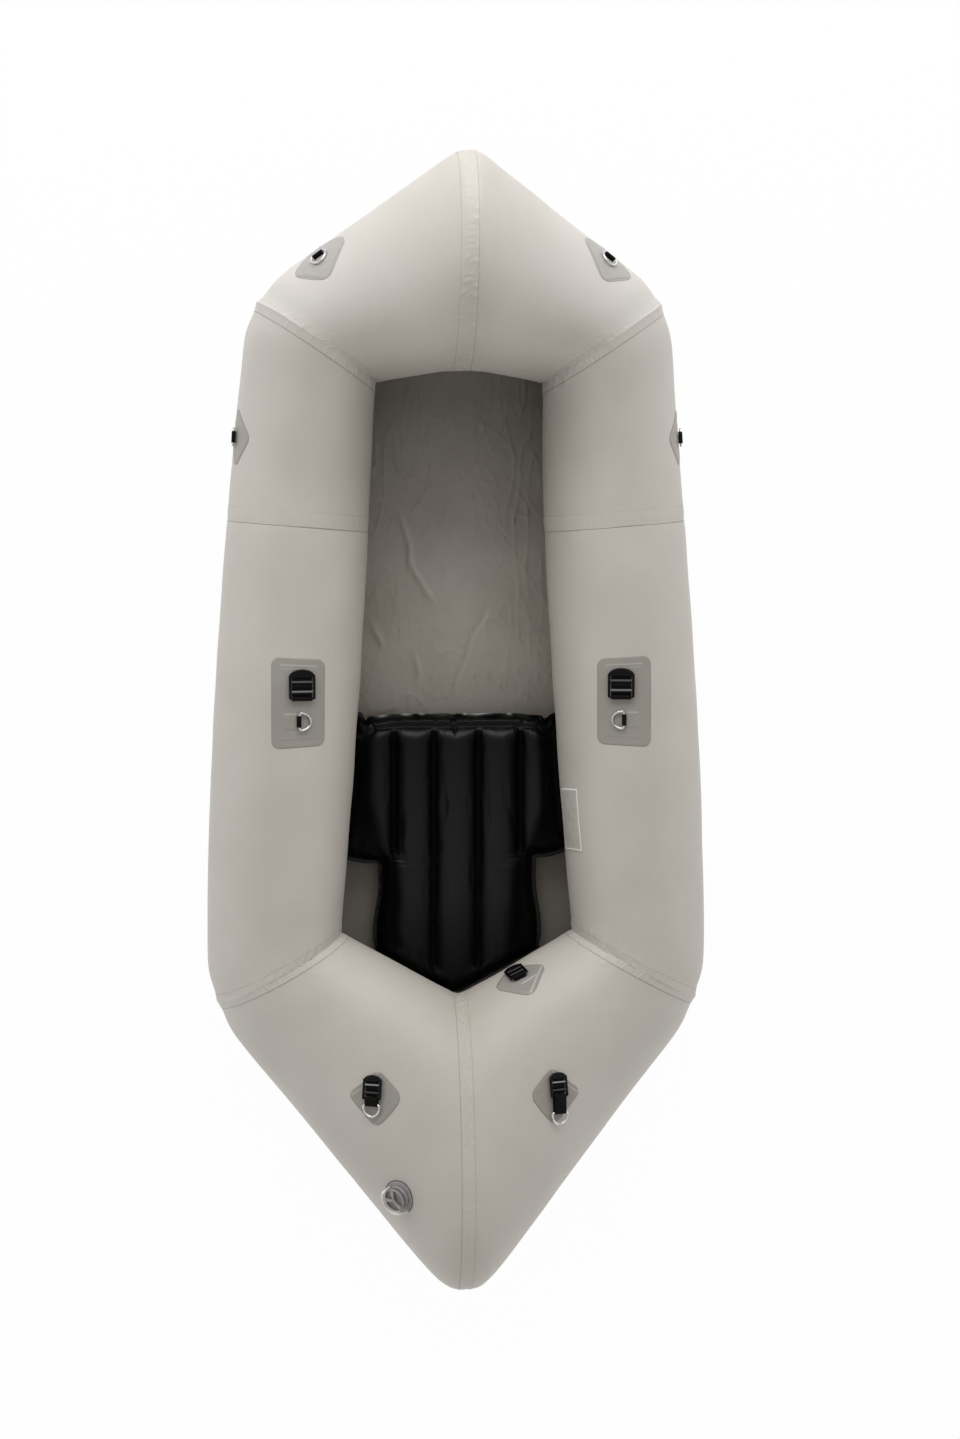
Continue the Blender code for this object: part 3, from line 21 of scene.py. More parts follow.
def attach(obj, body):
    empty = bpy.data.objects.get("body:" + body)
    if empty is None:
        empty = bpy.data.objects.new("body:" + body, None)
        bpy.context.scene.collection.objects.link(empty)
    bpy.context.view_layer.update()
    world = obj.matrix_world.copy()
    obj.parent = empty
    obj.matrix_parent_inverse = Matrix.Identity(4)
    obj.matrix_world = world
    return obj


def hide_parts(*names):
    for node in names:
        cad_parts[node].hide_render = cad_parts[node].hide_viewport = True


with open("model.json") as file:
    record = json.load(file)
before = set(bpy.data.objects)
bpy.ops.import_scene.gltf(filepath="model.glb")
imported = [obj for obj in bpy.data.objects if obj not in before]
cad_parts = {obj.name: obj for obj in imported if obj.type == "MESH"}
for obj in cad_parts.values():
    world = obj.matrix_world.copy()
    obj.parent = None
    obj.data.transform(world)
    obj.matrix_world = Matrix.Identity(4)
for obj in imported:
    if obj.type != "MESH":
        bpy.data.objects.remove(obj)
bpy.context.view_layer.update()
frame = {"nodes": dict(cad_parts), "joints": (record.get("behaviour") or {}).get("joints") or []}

Array = np.ndarray
Piece = bpy.types.Object
LOG = logging.getLogger("packraft")

PHOTO_SIZE = (960, 1439)
SENSOR = 36.0
QUARTER = math.pi / 2
WHOLE = 2 * math.pi
X_AXIS, Y_AXIS, UPWARD = np.eye(3)
TUBE_RADIUS = 0.13  # turns an angle round a tube into metres of its skin


# Arrays and shapes


def unit(vectors: Array) -> Array:
    """Vectors divided by their lengths, along the last axis."""
    return vectors / np.maximum(np.linalg.norm(vectors, axis=-1, keepdims=True), 1e-12)


def stacked(*parts: Any) -> Array:
    """Numbers and arrays, spread out to one shape, as the last axis of an array."""
    return np.stack(np.broadcast_arrays(*parts), axis=-1)


def blend(start: Any, end: Any, share: Any) -> Any:
    """start + (end - start) * share."""
    return start + (end - start) * share


def eased(share: Array) -> Array:
    """A share clipped to 0..1 that leaves and arrives level: 3 s^2 - 2 s^3."""
    share = np.clip(share, 0, 1)
    return share * share * (3 - 2 * share)


def hump(distance: Array, width: float) -> Array:
    """A bell of height 1: exp(-(distance / width)^2)."""
    return np.exp(-((distance / width) ** 2))


@dataclass(frozen=True)
class Ripples:
    """Smooth noise of about unit size: a sum of plane waves of random direction and phase.

    Args:
        seed: start of the random draws.
        length: mean wave length in metres.
        stretch: how many times longer the waves are along y than along x.
        count: number of waves.
    """

    seed: int
    length: float
    stretch: float = 1.0
    count: int = 28

    def at(self, x: Array, y: Array) -> Array:
        """Sum of cos(kx x + ky y + phase), over the square root of half the count."""
        draws = np.random.default_rng(self.seed)
        angles = draws.uniform(0, WHOLE, self.count)
        sizes = WHOLE / self.length * draws.uniform(0.55, 1.6, self.count)
        phases = draws.uniform(0, WHOLE, self.count)
        kx = sizes * np.cos(angles)
        ky = sizes * np.sin(angles) / self.stretch
        waves = np.asarray(x)[..., None] * kx + np.asarray(y)[..., None] * ky + phases
        return np.cos(waves).sum(axis=-1) / math.sqrt(self.count / 2)


def chaikin(path: Array, rounds: int = 3, closed: bool = True) -> Array:
    """A path with its corners cut at a quarter and three quarters of each run, some rounds."""
    for _ in range(rounds):
        here, following = (path, np.roll(path, -1, axis=0)) if closed else (path[:-1], path[1:])
        cut = np.stack((blend(here, following, 0.25), blend(here, following, 0.75)), axis=1)
        cut = cut.reshape(-1, path.shape[1])
        path = cut if closed else np.vstack((path[:1], cut, path[-1:]))
    return path


def rounded_section(width: float, height: float, corner: float, steps: int = 5) -> Array:
    """Corners of a rounded rectangle about the origin: a quarter circle at each corner."""
    corner = min(corner, width / 2 * 0.999, height / 2 * 0.999)
    turns = np.linspace(0, QUARTER, steps)
    rounds = []
    for quarter, (sx, sy) in enumerate(((1, 1), (-1, 1), (-1, -1), (1, -1))):
        angle = turns + quarter * QUARTER
        x = sx * (width / 2 - corner) + corner * np.cos(angle)
        y = sy * (height / 2 - corner) + corner * np.sin(angle)
        rounds.append(np.column_stack((x, y)))
    return np.vstack(rounds)


def circle_section(radius: float, sides: int = 20) -> Array:
    """Corners of a circle about the origin."""
    turns = WHOLE * np.arange(sides) / sides
    return radius * np.column_stack((np.cos(turns), np.sin(turns)))


def grid_quads(rows: int, columns: int, wrap_rows: bool, wrap_columns: bool) -> Array:
    """Corner numbers of the quads of a grid of points, row by row."""
    down = np.arange(rows if wrap_rows else rows - 1)
    over = np.arange(columns if wrap_columns else columns - 1)
    row, column = np.meshgrid(down, over, indexing="ij")
    row_after = (row + 1) % rows
    column_after = (column + 1) % columns
    corners = (row * columns + column, row * columns + column_after,
               row_after * columns + column_after, row_after * columns + column)
    return np.stack(corners, axis=-1).reshape(-1, 4)


def grid_corner_uv(uv: Array) -> Array:
    """Texture places of the quads' corners, from a grid one larger where the mesh wraps."""
    corners = (uv[:-1, :-1], uv[:-1, 1:], uv[1:, 1:], uv[1:, :-1])
    return np.stack(corners, axis=2).reshape(-1, 2)


@dataclass
class Shell:
    """Points and faces of one closed or open skin, faces as arrays of equal corner counts."""

    points: Array
    faces: list[Array]
    uv: Optional[Array] = None

    def moved(self, place: "Place") -> "Shell":
        """The same skin carried from a piece's own axes to its place."""
        return Shell(place.out(self.points), self.faces, self.uv)

    def turned_round(self) -> "Shell":
        """The same skin with its faces the other way round."""
        faces = [face[:, ::-1] for face in self.faces]
        if self.uv is None:
            return Shell(self.points, faces)
        corners = self.faces[0].shape[1]
        return Shell(self.points, faces, self.uv.reshape(-1, corners, 2)[:, ::-1].reshape(-1, 2))

    def facing(self, away: Array) -> "Shell":
        """The same skin with its faces towards some directions.

        Args:
            away: one direction, or one for each point.
        """
        quads = self.faces[0]
        corners = self.points[quads]
        across = np.cross(corners[:, 2] - corners[:, 0], corners[:, -1] - corners[:, 1])
        wanted = np.broadcast_to(away, self.points.shape)[quads[:, 0]]
        return self if (across * wanted).sum() > 0 else self.turned_round()

    def closed_out(self) -> "Shell":
        """The same closed skin with its faces outwards, by the sign of its volume."""
        volume = 0.0
        for face in self.faces:
            corners = self.points[face] - self.points.mean(axis=0)
            for last in range(2, face.shape[1]):
                volume += np.linalg.det(corners[:, (0, last - 1, last)]).sum()
        return self if volume > 0 else self.turned_round()

    @staticmethod
    def joined(shells: Sequence["Shell"]) -> "Shell":
        """Several skins as one, without texture places."""
        points, faces, start = [], [], 0
        for shell in shells:
            points.append(shell.points)
            faces += [face + start for face in shell.faces]
            start += len(shell.points)
        return Shell(np.vstack(points), faces)


def grid_shell(grid: Array, wrap_rows: bool = False, wrap_columns: bool = False,
               uv: Optional[Array] = None) -> Shell:
    """A skin over a grid of points.

    Args:
        grid: points, rows by columns by 3.
        wrap_rows: the last row joins the first.
        wrap_columns: the last column joins the first.
        uv: texture places in metres, one row or column more where the grid wraps.

    Returns:
        The skin, with texture places per corner.
    """
    rows, columns = grid.shape[:2]
    quads = grid_quads(rows, columns, wrap_rows, wrap_columns)
    corner_uv = None if uv is None else grid_corner_uv(uv)
    return Shell(grid.reshape(-1, 3), [quads], corner_uv)


def swept(path: Array, across: Array, over: Array, section: Array, closed: bool) -> Shell:
    """A section carried along a path: place + across * u + over * v, with flat ends if open.

    Args:
        path: the places.
        across: direction of the section's first number, one for all places or one for each.
        over: direction of its second number, likewise.
        section: corners of the section.
        closed: the path's end joins its start.

    Returns:
        The skin.
    """
    across, over = (np.broadcast_to(axis, path.shape)[:, None] for axis in (across, over))
    rings = path[:, None] + across * section[None, :, :1] + over * section[None, :, 1:]
    shell = grid_shell(rings, wrap_rows=closed, wrap_columns=True)
    if not closed:
        count = len(section)
        last = (len(path) - 1) * count
        first_cap = np.arange(count)[None, ::-1]
        last_cap = np.arange(last, last + count)[None]
        shell.faces += [first_cap, last_cap]
    return shell


def run_of(path: Array) -> Array:
    """Directions of a closed path, at each place from the one before it to the one after it."""
    return unit(np.roll(path, -1, axis=0) - np.roll(path, 1, axis=0))


def swept_flat(path: Array, section: Array, closed: bool) -> Shell:
    """A section carried along a path in local X and Z, its width along Y.

    The section's first number runs along Y and its second across the path.
    """
    runs = run_of(path) if closed else unit(np.gradient(path, axis=0))
    return swept(path, Y_AXIS, np.cross(runs, Y_AXIS), section, closed)


def turned_shell(profile: Array, sides: int = 72) -> Shell:
    """A closed profile of (radius, height) turned round the Z axis."""
    turns = WHOLE * np.arange(sides) / sides
    radii, heights = profile.T[:, None]
    grid = stacked(radii * np.cos(turns)[:, None], radii * np.sin(turns)[:, None], heights)
    return grid_shell(grid, wrap_rows=True, wrap_columns=True)


@dataclass(frozen=True)
class Place:
    """Where a small piece stands: an origin and its own axes."""

    origin: Array
    x: Array
    y: Array
    z: Array

    def out(self, points: Array) -> Array:
        """Points from the piece's own axes to the boat's."""
        return self.origin + points[..., :1] * self.x + points[..., 1:2] * self.y + points[..., 2:] * self.z

    def into(self, points: Array) -> Array:
        """Points from the boat's axes to the piece's own."""
        away = points - self.origin
        return stacked(away @ self.x, away @ self.y, away @ self.z)

    @staticmethod
    def of_swinging(node: str) -> "Place":
        """A ring's or buckle's place: its joint's axis is -Y, and its middle lies along X."""
        origin, axis = joint_of(node)
        y = -axis
        towards = node_points(node).mean(axis=0) - origin
        x = unit(towards - y * np.dot(towards, y))
        return Place(origin, x, y, np.cross(x, y))


def node_points(node: str) -> Array:
    """The vertices of a CAD node."""
    return points_of(frame["nodes"][node])


def joint_of(node: str) -> tuple[Array, Array]:
    """Place and axis of the joint that carries a CAD node."""
    joint = next(item for item in frame["joints"] if item["child"] == node)
    return np.array(joint["pos_m"], float), unit(np.array(joint["axis"], float))


# Shader maths


class Number:
    """One number socket of a material, used in Python arithmetic."""

    def __init__(self, finish: "NodeBench", socket: Any) -> None:
        """Keep the bench that makes the nodes, and the socket."""
        self.bench = finish
        self.socket = socket

    def _math(self, operation: str, first: Any, second: Any = 0.0) -> "Number":
        """A Math node on two values."""
        node = self.bench.node("ShaderNodeMath", {"operation": operation}, {0: first, 1: second})
        return Number(self.bench, node.outputs[0])

    def __add__(self, other: Any) -> "Number":
        """self + other."""
        return self._math("ADD", self, other)

    __radd__ = __add__

    def __sub__(self, other: Any) -> "Number":
        """self - other."""
        return self._math("SUBTRACT", self, other)

    def __rsub__(self, other: Any) -> "Number":
        """other - self."""
        return self._math("SUBTRACT", other, self)

    def __mul__(self, other: Any) -> "Number":
        """self * other."""
        return self._math("MULTIPLY", self, other)

    __rmul__ = __mul__

    def sine(self) -> "Number":
        """The sine, for weaves and ribs."""
        return self._math("SINE", self)

    def size(self) -> "Number":
        """The value without its sign."""
        return self._math("ABSOLUTE", self)

    def at_most(self, other: Any) -> "Number":
        """The smaller of the two."""
        return self._math("MINIMUM", self, other)

    def at_least(self, other: Any) -> "Number":
        """The larger of the two."""
        return self._math("MAXIMUM", self, other)

    def rise(self, low: float, high: float) -> "Number":
        """0 below low, 1 above high and smooth between them."""
        node = self.bench.node("ShaderNodeMapRange", {"interpolation_type": "SMOOTHSTEP"},
                               {"Value": self, "From Min": low, "From Max": high})
        return Number(self.bench, node.outputs["Result"])


Value = Union[Number, float]
Colour = tuple[float, float, float]


def linear(colour: Colour) -> tuple[float, float, float, float]:
    """A display colour of 0..255 as the linear one that a shader takes."""
    share = np.array(colour) / 255
    made = np.where(share <= 0.04045, share / 12.92, ((share + 0.055) / 1.055) ** 2.4)
    return (float(made[0]), float(made[1]), float(made[2]), 1.0)


class NodeBench:
    """Makes the nodes of one material."""

    def __init__(self, name: str, world: Optional[bpy.types.World] = None) -> None:
        """Start an empty material, or a world, with its output."""
        self.material = world or bpy.data.materials.new(name)
        self.material.use_nodes = True
        self.tree = self.material.node_tree
        self.tree.nodes.clear()
        self.output = self.node("ShaderNodeOutputWorld" if world else "ShaderNodeOutputMaterial", {}, {})

    def node(self, kind: str, settings: dict[str, Any], values: dict[Any, Any]) -> Any:
        """Any node.

        Args:
            kind: the node's type.
            settings: its attributes, set first.
            values: numbers, colours, Numbers or sockets for its inputs.

        Returns:
            The node.
        """
        made = self.tree.nodes.new(kind)
        for name, setting in settings.items():
            setattr(made, name, setting)
        for name, value in values.items():
            self.feed(made.inputs[name], value)
        return made

    def feed(self, socket: Any, value: Any) -> None:
        """Link an input to a Number or a socket, or set it to a value."""
        value = value.socket if isinstance(value, Number) else value
        if isinstance(value, bpy.types.NodeSocket):
            self.tree.links.new(value, socket)
        else:
            socket.default_value = value

    def place(self, kind: str = "Object") -> Any:
        """The Object or UV coordinates."""
        return self.node("ShaderNodeTexCoord", {}, {}).outputs[kind]

    def parts(self, vector: Any) -> tuple[Number, Number, Number]:
        """The three numbers of a vector."""
        split = self.node("ShaderNodeSeparateXYZ", {}, {0: vector}).outputs
        return Number(self, split[0]), Number(self, split[1]), Number(self, split[2])

    def noise(self, scale: float, detail: float = 3.0, vector: Any = None, rough: float = 0.5) -> Number:
        """Fractal noise of 0..1 with features of about 1 / scale metres."""
        vector = self.place() if vector is None else vector
        node = self.node("ShaderNodeTexNoise", {}, {"Vector": vector, "Scale": scale, "Detail": detail,
                                                    "Roughness": rough})
        return Number(self, node.outputs["Fac"])

    def attribute(self, name: str) -> Number:
        """A number painted on the mesh."""
        return Number(self, self.node("ShaderNodeAttribute", {"attribute_name": name}, {}).outputs["Fac"])

    def mix(self, share: Value, first: Any, second: Any) -> Any:
        """A colour that goes from first to second."""
        node = self.node("ShaderNodeMix", {"data_type": "RGBA"}, {})
        colour_inputs = [socket for socket in node.inputs if socket.type == "RGBA"]
        for socket, value in zip([node.inputs[0]] + colour_inputs, (share, first, second)):
            self.feed(socket, value)
        return next(socket for socket in node.outputs if socket.type == "RGBA")

    def toned(self, colour: Any) -> Any:
        """A colour drawn towards white or black by the "tone" painted on the mesh, -1 to 1, which mostly
        holds painted light and shade.
        """
        tone = self.attribute("tone")
        paler = self.mix(tone.at_least(0), colour, (1.0, 1.0, 1.0, 1.0))
        return self.mix((0 - tone).at_least(0), paler, (0.0, 0.0, 0.0, 1.0))

    def bump(self, height: Number, distance: float, strength: float = 1.0) -> Any:
        """A Bump node's normal for a height of 0..1 over a distance in metres."""
        node = self.node("ShaderNodeBump", {}, {"Height": height, "Distance": distance,
                                                "Strength": strength})
        return node.outputs["Normal"]

    def seen_by(self, *rays: str) -> Number:
        """1 for rays of the named kinds, such as "Camera", and 0 for others."""
        path = self.node("ShaderNodeLightPath", {}, {})
        return reduce(Number.at_least, (Number(self, path.outputs["Is " + ray + " Ray"]) for ray in rays))

    def blended(self, share: Number, first: Any, second: Any) -> None:
        """Finish the material or the world with two shaders, by the share of the second."""
        mix = self.node("ShaderNodeMixShader", {}, {0: share, 1: first.outputs[0], 2: second.outputs[0]})
        self.tree.links.new(mix.outputs[0], self.output.inputs["Surface"])

    def surface(self, values: dict[str, Any]) -> bpy.types.Material:
        """Finish the material with a Principled shader.

        Args:
            values: its sockets, linked where they vary and set where they don't.

        Returns:
            The material.
        """
        shader = self.node("ShaderNodeBsdfPrincipled", {}, values)
        self.tree.links.new(shader.outputs[0], self.output.inputs["Surface"])
        return self.material


def weave(bench: NodeBench, uv: Any, pitch: float) -> Number:
    """A plain weave of 0..1: threads along u over threads along v, by a product of sines."""
    u, v, _ = bench.parts(uv)
    warp = (u * (WHOLE / pitch)).sine()
    weft = (v * (WHOLE / pitch)).sine()
    return warp * weft * 0.5 + 0.5


@dataclass(frozen=True)
class CoatedCloth:
    """Nylon with a smooth urethane coat: a faint weave, soft mottling and scuffed gloss.

    Args:
        name: the material's name.
        colour: display colour of the cloth.
        shade: display colour of its darker mottling.
        gloss: roughness of the coat.
        pitch: thread pitch in metres.
        relief: height of the weave in metres.
        crumple: height of the soft crumples in metres.
        specular: specular level.
        sheen: whether a coat lies on the cloth, as strong as the painted highlight and painted shade on the
            mesh.
    """

    name: str
    colour: Colour
    shade: Colour
    gloss: float
    pitch: float = 0.0011
    relief: float = 0.00004
    crumple: float = 0.0002
    specular: float = 0.42
    sheen: bool = False

    def material(self) -> bpy.types.Material:
        """Build the material."""
        bench = NodeBench(self.name)
        threads = weave(bench, bench.place("UV"), self.pitch)
        clouds = bench.noise(7, 4)
        specks = bench.noise(260, 2)
        mottled = (clouds * 0.75 + specks * 0.25).rise(0.35, 0.68)
        colour = bench.toned(bench.mix(mottled, linear(self.shade), linear(self.colour)))
        rough = self.gloss + (bench.noise(34, 4) - 0.5) * 0.14 + (threads - 0.5) * 0.03
        fine = bench.bump(threads, self.relief)
        soft = bench.node("ShaderNodeBump", {}, {"Height": bench.noise(28, 2), "Distance": self.crumple,
                                                 "Normal": fine})
        values = {"Base Color": colour, "Roughness": rough, "Normal": soft.outputs["Normal"],
                  "Specular IOR Level": self.specular}
        # The coat's weight is the painted highlight and painted shade on the mesh.
        if self.sheen:
            values.update({"Coat Weight": bench.attribute("sheen"), "Coat Roughness": self.gloss,
                           "Coat IOR": 1.5, "Coat Normal": soft.outputs["Normal"]})
        return bench.surface(values)


@dataclass(frozen=True)
class OutlinedCloth:
    """A blank printed label: dull cloth with a thin pale line inside its edge, read from UV."""

    name: str
    colour: Colour
    line: Colour
    half_width: float
    half_length: float
    inset: float = 0.003
    thickness: float = 0.0020

    def material(self) -> bpy.types.Material:
        """Build the material."""
        bench = NodeBench(self.name)
        u, v, _ = bench.parts(bench.place("UV"))
        inside = (self.half_length - self.inset - u.size()).at_most(
            self.half_width - self.inset - v.size())
        line = 1 - (inside.size() - self.thickness / 2).rise(0, self.thickness * 0.4)
        threads = weave(bench, bench.place("UV"), 0.0009)
        mottled = bench.noise(60, 3).rise(0.3, 0.7)
        dark = tuple(part * 0.94 for part in self.colour)
        cloth = bench.mix(mottled, linear(dark), linear(self.colour))
        return bench.surface({"Base Color": bench.mix(line, cloth, linear(self.line)),
                              "Roughness": 0.5 + (threads - 0.5) * 0.06,
                              "Normal": bench.bump(threads, 0.00004)})


@dataclass(frozen=True)
class WovenStrap:
    """Polyester webbing: ribs and threads aslant in the piece's own axes, in metres."""

    name: str
    colour: Colour
    rib: float = 0.0022

    def material(self) -> bpy.types.Material:
        """Build the material."""
        bench = NodeBench(self.name)
        x, y, z = bench.parts(bench.place())
        ribs = ((x + y * 0.9 + z * 0.7) * (WHOLE / self.rib)).sine()
        threads = ((x * 0.9 - y + z * 0.5) * (WHOLE / (self.rib * 0.55))).sine()
        height = ribs * 0.3 + threads * 0.2 + 0.5
        pale = tuple(min(part * 1.6 + 4, 255) for part in self.colour)
        # Painted highlight: the raised ribs and threads are painted paler than the webbing's own colour.
        colour = bench.mix(height.rise(0.35, 1.0), linear(self.colour), linear(pale))
        return bench.surface({"Base Color": colour, "Roughness": 0.66 - bench.noise(90, 2) * 0.12,
                              "Specular IOR Level": 0.12,
                              "Normal": bench.bump(height, 0.00022)})


@dataclass(frozen=True)
class MouldedPlastic:
    """Injection-moulded plastic: a fine spark-eroded grain and slight flow marks."""

    name: str
    colour: Colour
    gloss: float
    grain: float = 0.00003
    specular: float = 0.5

    def material(self) -> bpy.types.Material:
        """Build the material."""
        bench = NodeBench(self.name)
        grain = bench.noise(2600, 2)
        flow = bench.noise(45, 3)
        dark = tuple(part * 0.86 for part in self.colour)
        colour = bench.toned(bench.mix(flow.rise(0.35, 0.7), linear(dark), linear(self.colour)))
        return bench.surface({"Base Color": colour, "Roughness": self.gloss + (flow - 0.5) * 0.16,
                              "Specular IOR Level": self.specular,
                              "Normal": bench.bump(grain, self.grain)})


@dataclass(frozen=True)
class DrawnSteel:
    """Bright steel wire: fine drawing marks, and a little dulling."""

    name: str
    colour: Colour
    gloss: float

    def material(self) -> bpy.types.Material:
        """Build the material."""
        bench = NodeBench(self.name)
        marks = bench.noise(900, 3)
        dull = bench.noise(120, 2).rise(0.4, 0.75)
        dark = tuple(part * 0.8 for part in self.colour)
        return bench.surface({"Base Color": bench.mix(dull, linear(self.colour), linear(dark)),
                              "Metallic": 1.0, "Roughness": self.gloss + dull * 0.12,
                              "Normal": bench.bump(marks, 0.00002)})


@dataclass(frozen=True)
class Rubber:
    """Soft dull rubber with a dusty bloom."""

    name: str
    colour: Colour

    def material(self) -> bpy.types.Material:
        """Build the material."""
        bench = NodeBench(self.name)
        bloom = bench.noise(300, 4).rise(0.4, 0.8)
        pale = tuple(min(part + 14, 255) for part in self.colour)
        return bench.surface({"Base Color": bench.mix(bloom, linear(self.colour), linear(pale)),
                              "Roughness": 0.7 + bloom * 0.15, "Normal": bench.bump(bloom, 0.00003)})


class Slot(Enum):
    """The record's material slots, each with the finish of its pieces."""

    HULL = ("hull_fabric", CoatedCloth("hull_cloth", (196, 190, 182), (190, 184, 175), 0.47))
    TAPE = ("seam_tape", CoatedCloth("seam_tape_cloth", (196, 190, 182), (190, 184, 175), 0.50, 0.0009))
    FLOOR = ("floor_fabric", CoatedCloth("floor_cloth", (170, 163, 154), (160, 153, 144), 0.50, 0.0014,
                                         0.00007, 0.0006))
    PATCH = ("patch_fabric", CoatedCloth("patch_cloth", (157, 152, 146), (150, 145, 139), 0.40, 0.0012,
                                         0.00006))
    SEAT = ("seat_fabric", CoatedCloth("seat_cloth", (8, 7, 7), (5, 4, 4), 0.38, 0.0013, 0.00006,
                                       0.0004, 0.02, True))
    WEBBING = ("webbing", WovenStrap("black_webbing", (6, 5, 5)))
    BUCKLE = ("buckle_plastic", MouldedPlastic("black_acetal", (8, 7, 7), 0.26, 0.00002, 0.2))
    RING = ("ring_steel", DrawnSteel("bright_steel", (240, 239, 238), 0.10))
    VALVE = ("valve_plastic", MouldedPlastic("grey_valve_plastic", (160, 154, 154), 0.36))
    SEAL = ("seal_rubber", Rubber("black_rubber", (28, 28, 28)))
    SPRING = ("spring_steel", DrawnSteel("spring_wire", (190, 190, 192), 0.26))
    TETHER = ("tether_plastic", MouldedPlastic("white_leash_plastic", (246, 244, 241), 0.40))

    def material(self) -> bpy.types.Material:
        """The slot's material, made the first time that it is asked for."""
        finish = self.value[1]
        return bpy.data.materials.get(finish.name) or finish.material()


# Pieces


def mesh_of(name: str, shell: Shell, smooth: float = 60.0) -> bpy.types.Mesh:
    """A mesh from a skin: points, loops and faces set as whole arrays.

    Args:
        name: the mesh's name.
        shell: the skin.
        smooth: edges sharper than this many degrees stay sharp.

    Returns:
        The mesh.
    """
    mesh = bpy.data.meshes.new(name)
    mesh.vertices.add(len(shell.points))
    mesh.vertices.foreach_set("co", np.ascontiguousarray(shell.points, np.float32).ravel())
    corners = np.concatenate([face.ravel() for face in shell.faces]).astype(np.int32)
    totals = np.concatenate([np.full(len(face), face.shape[1]) for face in shell.faces])
    starts = np.concatenate(([0], np.cumsum(totals)[:-1])).astype(np.int32)
    mesh.loops.add(len(corners))
    mesh.loops.foreach_set("vertex_index", corners)
    mesh.polygons.add(len(totals))
    mesh.polygons.foreach_set("loop_start", starts)
    if shell.uv is not None:
        layer = mesh.uv_layers.new(name="UVMap")
        flat = np.zeros((len(corners), 2), np.float32)
        flat[:len(shell.uv)] = shell.uv
        layer.uv.foreach_set("vector", flat.ravel())
    mesh.update(calc_edges=True)
    mesh.validate()
    mesh.shade_smooth()
    mesh.set_sharp_from_angle(angle=math.radians(smooth))
    return mesh


def object_of(name: str, shell: Shell, slot: Slot, smooth: float = 60.0,
              material: Optional[bpy.types.Material] = None) -> Piece:
    """An object at the origin with its mesh and its finish.

    Args:
        name: the piece's name.
        shell: its skin.
        slot: the record's slot that it is finished from.
        smooth: edges sharper than this many degrees stay sharp.
        material: another material than the slot's own.

    Returns:
        The object, in the scene.
    """
    made = bpy.data.objects.new(name, mesh_of(name, shell, smooth))
    bpy.context.scene.collection.objects.link(made)
    made.data.materials.append(material or slot.material())
    return made


def thicken(piece: Piece, thickness: float) -> None:
    """Give an open skin a wall inwards."""
    wall = piece.modifiers.new("wall", "SOLIDIFY")
    wall.thickness = thickness
    wall.offset = -1
    wall.use_rim = True
    wall.use_even_offset = False


def remesh(piece: Piece, size: float) -> None:
    """Cover a closed skin anew with quads of one size, where its shells overlap as one."""
    grown = piece.modifiers.new("even", "REMESH")
    grown.mode = "VOXEL"
    grown.voxel_size = size


def bake_modifiers(piece: Piece) -> None:
    """Replace the mesh with its evaluated one and drop the modifiers."""
    bpy.context.view_layer.update()
    graph = bpy.context.evaluated_depsgraph_get()
    made = bpy.data.meshes.new_from_object(piece.evaluated_get(graph))
    piece.modifiers.clear()
    piece.data = made


def points_of(piece: Piece) -> Array:
    """The vertices of a piece's mesh."""
    flat = np.empty(len(piece.data.vertices) * 3)
    piece.data.vertices.foreach_get("co", flat)
    return flat.reshape(-1, 3)


def normals_of(piece: Piece) -> Array:
    """The vertex normals of a piece's mesh."""
    flat = np.empty(len(piece.data.vertices) * 3, np.float32)
    piece.data.vertex_normals.foreach_get("vector", flat)
    return flat.reshape(-1, 3).astype(float)


def set_points(piece: Piece, points: Array) -> None:
    """Move the vertices of a piece's mesh."""
    piece.data.vertices.foreach_set("co", np.ascontiguousarray(points, np.float32).ravel())
    piece.data.update()


def paint(piece: Piece, name: str, values: Array) -> None:
    """Write one number for each vertex of a piece's mesh, for its material to read."""
    layer = piece.data.attributes.new(name, "FLOAT", "POINT")
    layer.data.foreach_set("value", np.ascontiguousarray(values, np.float32).ravel())


def settle(piece: Piece, body: str, *nodes: str) -> None:
    """Let a piece ride on a body in place of some nodes, and log it."""
    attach(piece, body)
    if nodes:
        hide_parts(*nodes)
    LOG.info("%s rides on %s: %d points", piece.name, body, len(piece.data.vertices))


def fitted(name: str, shell: Shell, place: Place, slot: Slot, body: str, *nodes: str,
           smooth: float = 60.0) -> Piece:
    """Make a closed piece from a skin in its own axes, put it in its place and settle it."""
    piece = object_of(name, shell.moved(place).closed_out(), slot, smooth)
    settle(piece, body, *nodes)
    return piece


def gaps(x: Array, y: Array, start: Array, run: Array) -> tuple[Array, Array]:
    """How far places lie from the nearest place of a straight run, along X and along Y."""
    share = ((x - start[0]) * run[0] + (y - start[1]) * run[1]) / max(float(run @ run), 1e-12)
    share = np.clip(share, 0, 1)
    return x - start[0] - share * run[0], y - start[1] - share * run[1]


# The hull


class Area(Enum):
    """The four panels of one side, from the bow."""

    BOW = "bow"
    SIDE_FRONT = "side_front"
    SIDE_REAR = "side_rear"
    STERN = "stern"


class Side(Enum):
    """The two sides of the boat, with the sign of their X."""

    LEFT = -1
    RIGHT = 1

    @property
    def label(self) -> str:
        """The word at the end of a node's name."""
        return self.name.lower()


